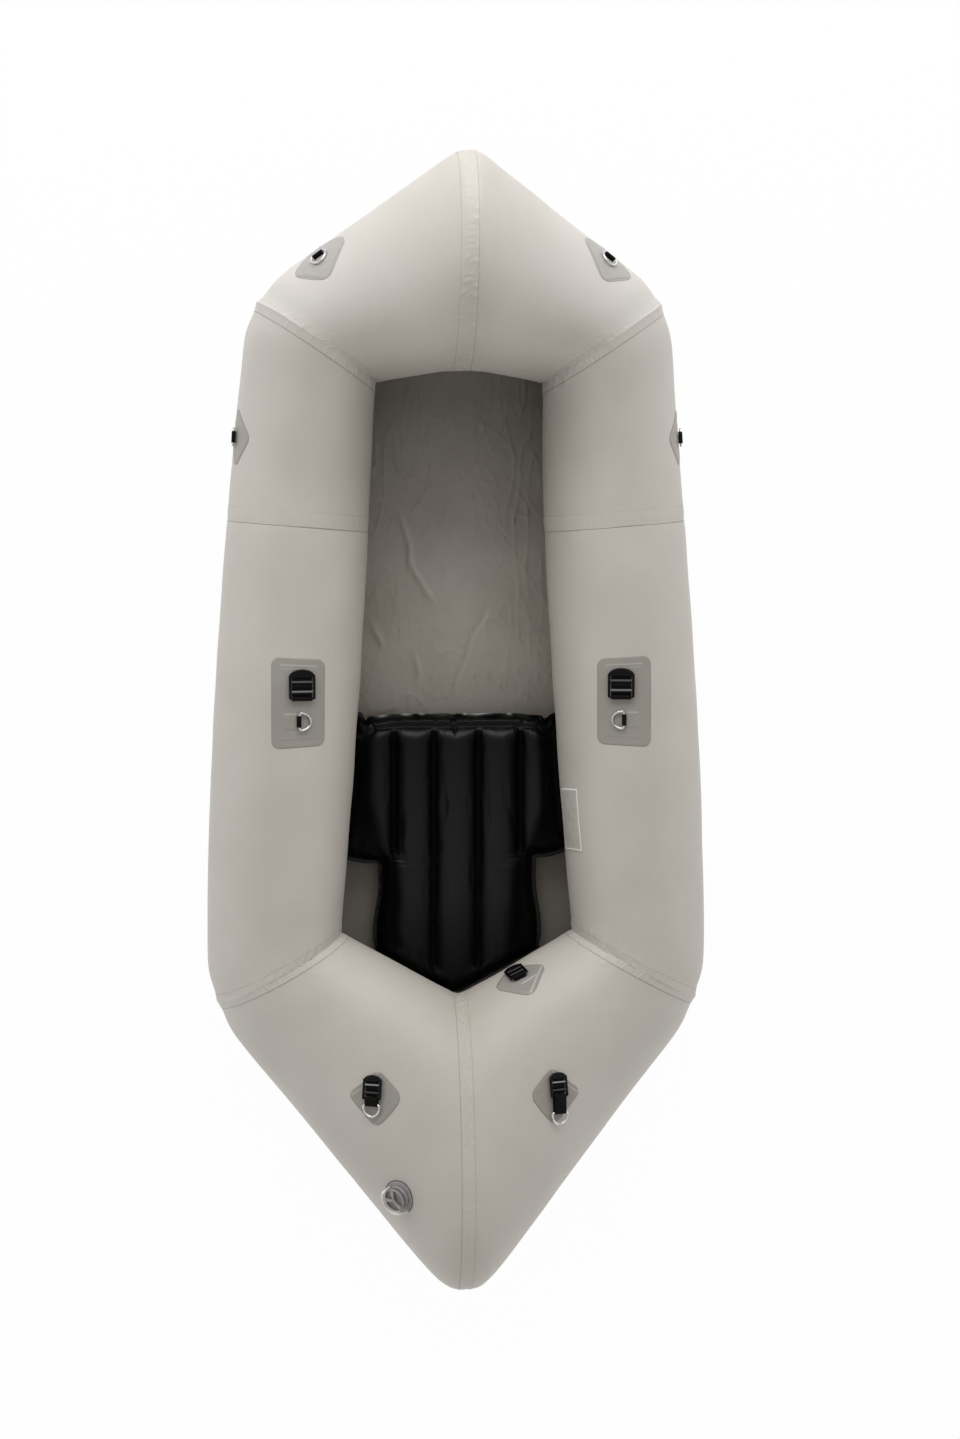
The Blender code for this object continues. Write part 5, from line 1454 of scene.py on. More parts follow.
    def weld_press(self, x: Array, y: Array, depth: Array) -> Array:
        """Depth of the welds' grooves, and of the puckers and fans of folds at their front ends."""
        press = np.zeros(len(x))
        pucker_y, front = y - (self.front_y - 0.030), self.front_y - y
        for number, weld in enumerate(self.welds):
            fade = eased((depth - 0.018) / 0.012)
            outer = 1 - 0.5 * eased((self.wing_rear + 0.01 - y) / 0.03) * (abs(weld) > 0.1)
            press += 0.0045 * np.exp(-np.abs(x - weld) / 0.0100) * fade * outer
            press += 0.0034 * hump(pucker_y, 0.013) * hump(x - weld, 0.0045)
            fan = Ripples(30 + number, 0.014, 3.0).at(x * 1.4, y)
            press += 0.0010 * np.maximum(fan, 0) * hump(pucker_y, 0.02) * hump(x - weld, 0.02)
        return press + 0.0045 * hump(x - 0.001 - front * 0.12, 0.0045) * hump(0.012 - front, 0.02)

    def gather_press(self, x: Array, y: Array) -> Array:
        """Depth of three gathers on each side where the tail begins, and of the shoulders' draw."""
        press = np.zeros(len(x))
        for side, middle in ((-1, -0.100), (1, 0.108)):
            for number, (shift, slope) in enumerate(((0.0, 0.10), (-0.009, -0.06), (0.010, 0.25))):
                across = y - (self.wing_rear - 0.004 + shift + slope * side * (x - middle))
                press += 0.0028 * (1 - 0.25 * number) * hump(across, 0.0036) * hump(x - middle, 0.030)
            shoulder = hump(y - (self.wing_rear + 0.012), 0.012)
            press += 0.0030 * shoulder * hump(np.abs(x) - self.tail_half, 0.018)
        return press

    def edge_press(self, x: Array, y: Array, depth: Array) -> Array:
        """Depth of the wings' droop, the rounded front, the loose cloth and the rim's gathers."""
        droop = eased((np.abs(x - 0.006) - 0.145) / 0.045) * eased((y - self.wing_rear - 0.02) / 0.04)
        press = 0.010 * droop * eased((depth - 0.002) / 0.015)
        press += 0.011 * (1 - eased((self.front_y - 0.004 - y) / 0.042)) * eased((depth - 0.001) / 0.012)
        loose = Ripples(52, 0.035, 2.6).at(x, y)
        press += 0.0009 * np.maximum(loose - 0.3, 0) * eased(depth / 0.02)
        edge = Ripples(53, 0.018).at(x, y)
        return press + 0.0009 * np.maximum(edge, 0) * hump(depth, 0.012)

    def details(self, pad: Piece, line: Array) -> None:
        """Press in the welds, gathers and edges along the points' normals, less on the underside.

        Every form is a bell across its own line.
        """
        points, normals = points_of(pad), normals_of(pad)
        x, y = points[:, 0], points[:, 1]
        depth = self.depth(x, y, line)
        press = self.weld_press(x, y, depth) + self.gather_press(x, y) + self.edge_press(x, y, depth)
        share = 0.35 + 0.65 * eased(normals[:, 2] / 0.3)
        set_points(pad, self.cleared(points - normals * (press * share)[:, None]))
        # Painted highlight and painted shade: the coat is strong on the crest and weak in the welds, the
        # folds and at the sides.
        paint(pad, "sheen", self.sheen(x, y))

    def sheen(self, x: Array, y: Array) -> Array:
        """How strongly the coat shines, as painted highlight and painted shade: most on the crest, little in
        the welds and the folds, where shade falls.

        PAINTED_SHEEN_STATIONS holds, at each Y, the level and the half width that stays shiny left and
        right.
        """
        level, left, right = (np.interp(y, PAINTED_SHEEN_STATIONS[:, 0], column) for column in PAINTED_SHEEN_STATIONS[:, 1:].T)
        side = eased((np.where(x < 0, left, right) + 0.012 - np.abs(x)) / 0.024)
        dark, narrow = np.zeros(np.shape(x)), np.zeros(np.shape(x))
        for weld in self.welds:
            away = x - weld
            narrow = np.maximum(narrow, hump(away, 0.0075))
            dark = np.maximum(dark, np.exp(-(away / np.where(away > 0, 0.0156, 0.026)) ** 2))
        ahead = eased((self.front_y - 0.012 - y) / 0.02)
        dark, narrow = dark * ahead, narrow * ahead
        return level * (0.10 + 0.90 * side) * (1 - 0.60 * dark - 0.36 * narrow)

    def cleared(self, points: Array) -> Array:
        """Points kept above the floor and clear of the side tubes' inner faces."""
        x, y, z = points.T
        low = HULL.floor_line(y) + HULL.floor_thickness + self.floor_gap
        z = np.maximum(z, low)
        half_plan = (HULL.outer_x(y) - HULL.cockpit_x(y)) / 2
        rise = (z - HULL.floor_thickness - HULL.floor_clearance) / (HULL.side_height / 2) - 1
        inner = HULL.cockpit_x(y) + half_plan * (1 - np.sqrt(np.clip(1 - rise ** 2, 0, 1))) - 0.0022
        return stacked(np.clip(x, -inner, inner), y, z)

    def build_pad(self, line: Array, x: Array, y: Array) -> Piece:
        """Remesh the pad, let it swell, smooth it once and press in its details."""
        pad = object_of("seat_pad_cover", self.start(line, x, y), Slot.SEAT)
        remesh(pad, self.voxel)
        bake_modifiers(pad)
        self.swell(pad, line)
        finer = pad.modifiers.new("finer", "SUBSURF")
        finer.levels = 1
        finer.render_levels = 1
        bake_modifiers(pad)
        self.details(pad, line)
        pad.data.shade_smooth()
        settle(pad, "hull", "seat_pad")
        return pad

    def build_rim(self, line: Array) -> Piece:
        """The welded rim: a flat strip outside the pad's outline that waves a little.

        It is wide before the front, behind the wings and beside the tail, and all but gone
        under the tubes.
        """
        ahead = run_of(line)
        keep = np.linalg.norm(ahead, axis=-1) > 0.5
        line, ahead = line[keep], ahead[keep]
        out = stacked(ahead[:, 1], -ahead[:, 0])
        if (out * (line - line.mean(axis=0))).sum() < 0:
            out = -out
        for _ in range(6):
            out = unit(out + np.roll(out, 1, axis=0) + np.roll(out, -1, axis=0))
        y = line[:, 1]
        under = eased((np.abs(line[:, 0]) - HULL.cockpit_x(y) + 0.006) / 0.008) * (y > self.wing_rear + 0.03)
        width = 0.0062 * (1 - under) + 0.0004
        width = width * (1 - 0.75 * eased((-0.42 - y) / 0.03))
        wave = Ripples(61, 0.045, count=12).at(line[:, 0], y) * (0.25 + 0.75 * eased((y + 0.02) / 0.01))
        share = np.linspace(-1, 1, 7)[None, :]
        reach = -0.004 * (share < 0) * np.abs(share) + width[:, None] * np.maximum(share, 0)
        place = line[:, None] + out[:, None] * reach[..., None]
        curl = 0.0022 * wave[:, None] * np.maximum(share, 0) ** 2 + 0.0012 * np.maximum(share, 0)
        height = self.seam_height(y)[:, None] + curl
        grid = np.concatenate((place, height[..., None]), axis=-1)
        film = CoatedCloth("seat_rim_film", (8, 7, 7), (6, 5, 5), 0.28, 0.0013, 0.00003, 0.0003, 0.3)
        rim = object_of("seat_rim_weld", grid_shell(grid, wrap_rows=True).facing(UPWARD), Slot.SEAT,
                        material=film.material())
        # Painted highlights along the front of the rim, at a few places across it.
        painted_highlights = sum(hump(grid[..., 0] - x, width) for x, width in
                     ((-0.136, 0.008), (-0.090, 0.009), (-0.060, 0.005), (0.024, 0.004), (0.052, 0.020),
                      (0.110, 0.004)))
        outer = eased(share - 0.2) * (y > self.front_y - 0.012)[:, None]
        paint(rim, "tone", 0.50 * painted_highlights * outer)
        thicken(rim, 0.0011)
        settle(rim, "hull")
        return rim

    def build(self) -> None:
        """The pad and its rim."""
        x, y, line = self.plan()
        self.build_pad(line, x, y)
        self.build_rim(line)


# Painted highlight and painted shade of the seat's coat by Y: the level, and the half width that stays shiny
# on the left and on the right.
PAINTED_SHEEN_STATIONS = np.array(((-0.500, 0.16, 0.120, 0.104), (-0.437, 0.40, 0.120, 0.104), (-0.390, 0.56, 0.110, 0.106),
                   (-0.341, 0.70, 0.100, 0.110), (-0.290, 0.68, 0.108, 0.112), (-0.245, 0.66, 0.134, 0.142),
                   (-0.150, 0.62, 0.155, 0.174), (-0.073, 0.50, 0.157, 0.168), (-0.044, 0.46, 0.160, 0.162),
                   (-0.025, 0.58, 0.166, 0.168), (-0.006, 0.36, 0.170, 0.170), (0.005, 0.32, 0.170, 0.170)))


# Patches and the places on the skin


@dataclass(frozen=True)
class SkinPlace:
    """A place on a panel's skin, with a flat grid (u, v) laid on it.

    Args:
        panel: the panel.
        share: share along the panel.
        lean: degrees from the tube's top, outboard positive.
        heading: plan direction of u.
    """

    panel: TubePanel
    share: float
    lean: float
    heading: tuple[float, float]

    def _basis(self) -> tuple[Array, Array, Array, Array, Array]:
        """Angle, normal, u, v and the matrix from (u, v) to (share, angle)."""
        share, angle = np.array(self.share), np.array(math.radians(90 - self.lean))
        normal = self.panel.normals(share, angle)
        along, around = self.panel.tangents(share, angle, 0.01, math.radians(3))
        towards = np.array((*self.heading, 0.0))
        u = unit(towards - normal * np.dot(towards, normal))
        v = np.cross(normal, u)
        grid = np.array(((along @ u, around @ u), (along @ v, around @ v)))
        return angle, normal, u, v, np.linalg.inv(grid)

    def normal(self) -> Array:
        """The skin's outward direction at the place."""
        return self._basis()[1]

    def locate(self, u: Array, v: Array, offset: Any = 0.0) -> Array:
        """Points of the finished skin at (u, v), raised along its normals."""
        angle, _, _, _, inverse = self._basis()
        shares = self.share + inverse[0, 0] * u + inverse[0, 1] * v
        angles = angle + inverse[1, 0] * u + inverse[1, 1] * v
        skin = self.panel.skin(shares, angles)
        return skin + self.panel.normals(shares, angles) * np.asarray(offset)[..., None]


def rounded_grid(half_u: float, half_v: float, corner: float, count: int) -> tuple[Array, Array]:
    """A square grid drawn out to a rounded rectangle.

    Each point keeps its direction, and its distance is scaled by the rectangle's reach in
    that direction over the square's.
    """
    p, q = np.meshgrid(np.linspace(-1, 1, count), np.linspace(-1, 1, count), indexing="ij")
    u, v = p * half_u, q * half_v
    turn = np.arctan2(np.abs(v), np.abs(u))
    cos, sin = np.cos(turn), np.sin(turn)
    square = 1 / np.maximum(cos / half_u, sin / half_v)
    cu, cv = half_u - corner, half_v - corner
    along = cu * cos + cv * sin
    arc = along + np.sqrt(np.maximum(along ** 2 - (cu ** 2 + cv ** 2 - corner ** 2), 0))
    in_arc = (square * cos > cu) & (square * sin > cv)
    reach = np.where(in_arc, arc, square)
    return u * reach / square, v * reach / square


@dataclass(frozen=True)
class Diamond:
    """A square patch that stands on its corner.

    Args:
        area: the panel's area.
        share: share along the panel.
        lean: degrees from the tube's top, outboard positive.
        length: the square's side.
        corner: radius of its corners.
        bulge: how far its sides swell.
        tone: painted light that makes it paler.
        lit_line_highlight: the painted highlight on the welded line along its lit sides.
    """

    area: Area
    share: float
    lean: float
    length: float
    corner: float
    bulge: float
    tone: float
    lit_line_highlight: float


# Each patch's tone is painted light, most on the bow patches, and lit_line_highlight a painted highlight on
# its lit sides.
DIAMONDS = {"bow": Diamond(Area.BOW, 0.700, 86.5, 0.088, 0.018, 0.12, 0.16, 0.0),
            "front": Diamond(Area.SIDE_FRONT, 0.621, 77.5, 0.082, 0.018, 0.03, 0.05, 0.1),
            "stern": Diamond(Area.STERN, 0.547, 17.6, 0.078, 0.016, 0.02, 0.0, 0.30),
            "back": Diamond(Area.STERN, 0.522, -57.0, 0.078, 0.016, 0.02, 0.03, 0.5)}


@dataclass
class Patches:
    """The nine cloth patches and the blank label on the tubes."""

    thickness: float = 0.0007
    lift: float = 0.0001
    count: int = 61
    side_size: tuple[float, float] = (0.165, 0.102)
    side_place: tuple[float, float] = (0.3925, -8.1)
    side_corner: float = 0.016

    @staticmethod
    def heading(panel: TubePanel, share: float) -> tuple[float, float]:
        """Plan direction of a panel towards the bow."""
        top = np.array(QUARTER)
        ahead = panel.points(np.array(share), top) - panel.points(np.array(min(share + 0.2, 1)), top)
        return (float(ahead[0]), float(ahead[1])) if ahead[1] > 0 else (-float(ahead[0]), -float(ahead[1]))

    def place(self, name: str, side: Side) -> SkinPlace:
        """Where a patch lies."""
        if name == "side":
            return SkinPlace(PANELS[Area.SIDE_REAR, side], *self.side_place, (0.0, 1.0))
        made = DIAMONDS[name]
        panel = PANELS[made.area, side]
        heading = (0.0, 1.0) if name in ("front", "stern") else self.heading(panel, made.share)
        return SkinPlace(panel, made.share, made.lean, heading)

    def laid(self, name: str, place: SkinPlace, u: Array, v: Array, lift: Array, slot: Slot,
             material: Optional[bpy.types.Material] = None, tone: Any = 0.0) -> Piece:
        """A sheet laid on the skin over a grid of (u, v), paler or darker by its tone, which is painted
        light and shade.
        """
        grid = place.locate(u, v, lift + self.lift + self.thickness)
        shell = grid_shell(grid, uv=stacked(u, v)).facing(place.normal())
        sheet = object_of(name, shell, slot, material=material)
        paint(sheet, "tone", np.broadcast_to(tone, np.shape(u)))
        thicken(sheet, self.thickness)
        return sheet

    def diamond(self, name: str, side: Side) -> Piece:
        """A square patch stood on its corner, with a faint welded line inside its edge."""
        made = DIAMONDS[name]
        length, bulge = made.length, made.bulge
        a, b = rounded_grid(length / 2, length / 2, made.corner, self.count)
        a, b = (a * (1 + bulge * (1 - (2 * b / length) ** 2)), b * (1 + bulge * (1 - (2 * a / length) ** 2)))
        edge = np.minimum(length / 2 - np.abs(a), length / 2 - np.abs(b))
        line = hump(edge - 0.0065, 0.0009)
        lit = (a if side is Side.LEFT else -b) > length / 2 - 0.009
        # Painted light: the patch's tone and a painted highlight on the welded line's lit sides; then a
        # painted shadow line along the edge.
        tone = made.tone + line * np.where(lit, made.lit_line_highlight, 0.03)
        tone = tone - 0.16 * hump(edge, 0.0009)
        if name == "back":
            h = length / 2
            start, run = np.array((-0.412, -0.276)) * h, np.array((0.630, -0.462)) * h
            # The crease gets a painted highlight along it.
            crease = hump(np.hypot(*gaps(a, b, start, run)), 0.0010)
            tone, line = tone + 0.5 * crease, line + crease
        soft = 0.0002 * Ripples(len(name) * 5 + side.value, 0.03).at(a, b)
        rounded = -0.0004 * np.clip(1 - edge / 0.0012, 0, 1)
        root = math.sqrt(0.5)
        place = self.place(name, side)
        sheet = self.laid(name + "_patch_" + side.label + "_cloth", place, (a - b) * root, (a + b) * root,
                          0.0006 * line + soft * eased(edge / 0.01) + rounded, Slot.PATCH, tone=tone)
        settle(sheet, "hull", name + "_patch_" + side.label)
        return sheet

    def oblong(self, side: Side) -> Piece:
        """The side patch, with the tabs sewn under it showing through.

        Two ridges with painted highlights cross it before the buckle's place and one with painted
        shadow behind the ring's, and a painted highlight and a painted shadow mark the ends of the tab
        beside its middle.
        """
        length, width = self.side_size
        u, v = rounded_grid(length / 2, width / 2, self.side_corner, self.count + 40)
        edge = np.minimum(length / 2 - np.abs(u), width / 2 - np.abs(v))
        outboard = -side.value * v
        crossing = eased((0.036 - np.abs(v)) / 0.003)
        beside = eased((outboard - 0.004) / 0.002) * eased((0.028 - outboard) / 0.002)
        pale = crossing * (hump(u - 0.069, 0.0010) + 0.4 * hump(u - 0.063, 0.0012))
        pale = pale + beside * hump(u + 0.0200, 0.0010)
        dark = crossing * hump(u + 0.0665, 0.0009) + beside * hump(u + 0.0480, 0.0009)
        tab = eased((0.014 - np.abs(u + 0.034)) / 0.003) * beside
        lift = 0.0006 * (pale + dark) + 0.0005 * tab
        lift = lift - 0.0004 * np.clip(1 - edge / 0.0012, 0, 1)
        # Painted light and shade: painted highlights on the pale ridges, painted shadow on the dark ones,
        # and a painted shadow line along the edge.
        tone = 0.22 * pale - 0.14 * dark - 0.16 * hump(edge, 0.0009)
        sheet = self.laid("side_patch_" + side.label + "_cloth", self.place("side", side), u, v, lift,
                          Slot.PATCH, tone=tone)
        settle(sheet, "hull", "side_patch_" + side.label)
        return sheet

    def label(self) -> Piece:
        """The blank label inside the right tube."""
        half_length, half_width = 0.060, 0.036
        place = SkinPlace(PANELS[Area.SIDE_REAR, Side.RIGHT], 0.711, -70.0, (-0.14, 1.0))
        u, v = rounded_grid(half_length, half_width, 0.002, 41)
        finish = OutlinedCloth("label_cloth", (198, 194, 187), (246, 245, 242), half_width, half_length)
        sheet = self.laid("blank_label", place, u, v, np.zeros(u.shape), Slot.PATCH, finish.material())
        settle(sheet, "hull")
        return sheet

    def build(self) -> None:
        """All patches of both sides."""
        for side in Side:
            for name in ("bow", "front", "stern"):
                self.diamond(name, side)
            self.oblong(side)
        self.diamond("back", Side.RIGHT)
        self.label()


# Rings, buckles and webbing


@dataclass
class Fittings:
    """D rings, ladder buckles, and the webbing that carries them."""

    wire: float = 0.004
    span: float = 0.036
    depth: float = 0.024
    corner: float = 0.003
    webbing: float = 0.0012
    narrow: float = 0.025
    wide: float = 0.038
    slack: float = 0.0002
    side_length: float = 0.056
    stern_length: float = 0.046
    thick: float = 0.0040
    bar_half: float = 0.0018
    first_slot: float = 0.0075
    slot_slack: float = 0.0012
    rail: float = 0.005

    @property
    def ladder_start(self) -> float:
        """Where the two ladder bars' part of a buckle begins, from the end bar's axis."""
        return self.bar_half + self.first_slot

    @property
    def bar_reach(self) -> float:
        """Reach of a buckle's end bar from its axis."""
        return math.hypot(2 * self.bar_half, self.thick) / 2

    def build_ring(self, node: str) -> Piece:
        """A steel D ring: round wire along a bar and half an ellipse, corners cut smooth."""
        half_span = (self.span - self.wire) / 2
        reach = self.depth - self.wire / 2
        turns = np.linspace(QUARTER, -QUARTER, 25)
        arc = stacked(self.corner + (reach - self.corner) * np.cos(turns), half_span * np.sin(turns))
        bar = stacked(0.0, np.linspace(-1, 1, 7) * (half_span - self.corner))
        flat = chaikin(np.vstack((bar, arc)), 2)
        path = stacked(*flat.T, 0.0)
        across = np.cross(UPWARD, run_of(path))
        shell = swept(path, across, UPWARD, circle_section(self.wire / 2), True)
        return fitted(node + "_wire", shell, Place.of_swinging(node), Slot.RING, node, node)

    def _frame(self, bars: Sequence[tuple[float, float, float]], rail_end: float,
               half: float) -> list[Shell]:
        """A buckle's two rails, and its bars by place, width and height."""
        section = rounded_section(0.0048, self.thick * 0.98, 0.0014)
        rail_x = np.linspace(0.0016 - self.bar_half, rail_end, 24)
        shells = [swept(stacked(rail_x, sign * (half - self.rail / 2), 0.0), Y_AXIS, UPWARD, section, False)
                  for sign in (-1, 1)]
        y = np.linspace(-half + 0.002, half - 0.002, 24)
        for x, width, height in bars:
            section = rounded_section(width, height, min(width, height) * 0.38)
            shells.append(swept(stacked(x, y, 0.0), -X_AXIS, UPWARD, section, False))
        return shells

    def build_buckle(self, node: str, webbing_width: float, length: float,
                     painted_highlights: tuple[float, float]) -> Piece:
        """A ladder buckle: rails, bars and a domed tab, grown together by a fine remesh.

        Args:
            node: the CAD node.
            webbing_width: width of the webbing that it takes.
            length: its length.
            painted_highlights: how pale the painted highlights along the ridges of its two ladder bars are.
        """
        slot_half = webbing_width / 2 + self.slot_slack
        half = slot_half + self.rail
        thick, ladder_start = self.thick, self.ladder_start
        end = length - self.bar_half
        ladder = end - ladder_start
        tab_start = ladder_start + ladder * 0.66
        bars = ((0.0, 0.0034, thick * 0.9),
                (ladder_start + ladder * 0.07, ladder * 0.13, thick * 0.94),
                (ladder_start + ladder * 0.47, ladder * 0.13, thick * 0.94),
                (tab_start + 0.002, 0.0045, thick * 0.9))
        shells = self._frame(bars, tab_start + 0.004, half) + [self._tab(tab_start, end, half, thick)]
        whole = Shell.joined([shell.closed_out() for shell in shells])
        buckle = object_of(node + "_moulding", whole, Slot.BUCKLE)
        remesh(buckle, 0.00045)
        soften = buckle.modifiers.new("soften", "SMOOTH")
        soften.factor = 0.5
        soften.iterations = 4
        bake_modifiers(buckle)
        local = points_of(buckle)
        along, beside, height = local.T
        # Painted highlights along the ridges of the two ladder bars.
        tone = np.zeros(len(local))
        for (x, width, _), painted_highlight in zip(bars[1:3], painted_highlights):
            ridge = hump(along - x - width * 0.1, width * 0.30) * eased((height - 0.0006) / 0.0010)
            tone += painted_highlight * ridge * eased((slot_half + 0.001 - np.abs(beside)) / 0.002)
        paint(buckle, "tone", tone)
        set_points(buckle, Place.of_swinging(node).out(local))
        buckle.data.shade_smooth()
        settle(buckle, node, node)
        return buckle

    def build_threading(self, node: str, width: float, length: float) -> Piece:
        """The webbing in a buckle: under each bar, and up into each slot."""
        start = self.ladder_start
        ladder = length - self.bar_half - start
        low, high = -self.bar_half - self.webbing / 2 - self.slack, -self.slack
        steps = ((-0.12, low), (-0.09, low * 0.7), (-0.06, high), (0.0, high), (0.035, low), (0.12, low),
                 (0.27, high), (0.35, high), (0.44, low), (0.50, low), (0.58, high), (0.62, high),
                 (0.68, low), (0.80, low))
        path = np.array([(start + ladder * share, 0.0, height) for share, height in steps])
        path = chaikin(path, 3, closed=False)
        section = rounded_section(width, self.webbing, self.webbing * 0.42)
        return fitted(node + "_threading", swept_flat(path, section, False), Place.of_swinging(node),
                      Slot.WEBBING, node)

    @staticmethod
    def _tab(start: float, end: float, half: float, thick: float) -> Shell:
        """The buckle's lifting tab: half an ellipse in plan, crowned, over a flat underside."""
        share, turn = np.meshgrid(np.linspace(0, 1, 16), np.linspace(-QUARTER, QUARTER, 41), indexing="ij")
        x = start + (end - start) * share * np.cos(turn)
        y = half * share * np.sin(turn)
        crown = np.sqrt(np.maximum(1 - share ** 4, 0))
        top = thick / 2 * (0.35 + 0.65 * crown)
        upper = stacked(x, y, top)
        lower = stacked(x, y, -thick / 2 * (0.6 + 0.4 * crown))
        rows, columns = x.shape
        quads = grid_quads(rows, columns, False, False)
        under = rows * columns
        index = np.arange(rows * columns).reshape(rows, columns)
        rim = np.concatenate((index[:, 0], index[-1, 1:], index[-2::-1, -1], index[0, -2:0:-1]))
        following = np.roll(rim, -1)
        walls = np.stack((rim, following, following + under, rim + under), axis=-1)
        points = np.vstack((upper.reshape(-1, 3), lower.reshape(-1, 3)))
        return Shell(points, [quads, quads[:, ::-1] + under, walls])

    def build_eye(self, node: str, carried: str, bar_reach: float, width: float) -> Piece:
        """A webbing loop that comes out of the patch, over a bar and back into it.

        Args:
            node: the CAD node.
            carried: the ring or buckle on the loop.
            bar_reach: the bar's reach from its axis.
            width: the webbing's width.
        """
        swing = Place.of_swinging(carried)
        node_middle = node_points(node).mean(axis=0)
        z = unit(swing.origin - (node_middle - swing.y * np.dot(node_middle - swing.origin, swing.y)))
        z = unit(z - swing.y * np.dot(z, swing.y))
        if np.dot(z, swing.z) < 0.2:
            z = swing.z
        x = np.cross(swing.y, z)
        local = Place(swing.origin, x, swing.y, z)
        low = float(local.into(node_points(node))[:, 2].min())
        radius = bar_reach + self.slack + self.webbing / 2
        if "ring" in carried:
            width -= 0.0035
        foot = low + self.webbing / 2
        turns = np.linspace(math.pi, 0, 22)
        arc = stacked(radius * np.cos(turns), 0.0, radius * np.sin(turns))
        back = np.array(((-radius - 0.0006, 0, foot - 0.0004), (-radius - 0.0003, 0, foot * 0.5)))
        front = back[::-1] * np.array((-1, 1, 1))
        path = chaikin(np.vstack((back, arc, front)), 2, closed=False)
        section = rounded_section(width, self.webbing, self.webbing * 0.42)
        return fitted(node + "_loop", swept_flat(path, section, False), local, Slot.WEBBING, "hull", node)

    def build_strap(self, side: Side) -> Piece:
        """The stern strap: one eye round the buckle's bar, one round the ring's, joined flat."""
        node = "stern_strap_" + side.label
        buckle = Place.of_swinging("stern_buckle_" + side.label)
        ring = Place.of_swinging("stern_ring_" + side.label)
        towards = ring.origin - buckle.origin
        x = -unit(towards - buckle.y * np.dot(towards, buckle.y))
        local = Place(buckle.origin, x, buckle.y, np.cross(x, buckle.y))
        ring_x, _, ring_z = local.into(ring.origin)
        r_buckle = self.bar_reach + self.slack + self.webbing / 2
        r_ring = self.wire / 2 + self.slack + self.webbing / 2
        first = np.linspace(math.radians(-100), math.radians(110), 22)
        arc_buckle = stacked(r_buckle * np.cos(first), 0.0, r_buckle * np.sin(first))
        second = np.linspace(math.radians(70), math.radians(280), 22)
        arc_ring = stacked(ring_x + r_ring * np.cos(second), 0.0, ring_z + r_ring * np.sin(second))
        path = chaikin(np.vstack((arc_buckle, arc_ring)), 2)
        section = rounded_section(self.narrow, self.webbing, self.webbing * 0.42)
        return fitted(node + "_webbing", swept_flat(path, section, True), local, Slot.WEBBING, "hull", node)

    def build(self) -> None:
        """Every ring, buckle, tab and strap."""
        wire, bar = self.wire / 2, self.bar_reach
        for side in Side:
            label = side.label
            for area in ("bow", "front", "side", "stern"):
                self.build_ring(area + "_ring_" + label)
            for area in ("bow", "front", "side"):
                self.build_eye(area + "_ring_tab_" + label, area + "_ring_" + label, wire, self.narrow)
            self.build_buckle("side_buckle_" + label, self.wide, self.side_length, (0.20, 0.10))
            self.build_threading("side_buckle_" + label, self.wide, self.side_length)
            self.build_eye("side_buckle_tab_" + label, "side_buckle_" + label, bar, self.wide)
            self.build_buckle("stern_buckle_" + label, self.narrow, self.stern_length, (0.06, 0.34))
            self.build_threading("stern_buckle_" + label, self.narrow, self.stern_length)
            self.build_strap(side)
        self.build_buckle("back_buckle_right", self.narrow, self.stern_length, (0.12, 0.12))
        self.build_threading("back_buckle_right", self.narrow, self.stern_length)
        self.build_eye("back_buckle_tab_right", "back_buckle_right", bar, self.narrow)


# The valves


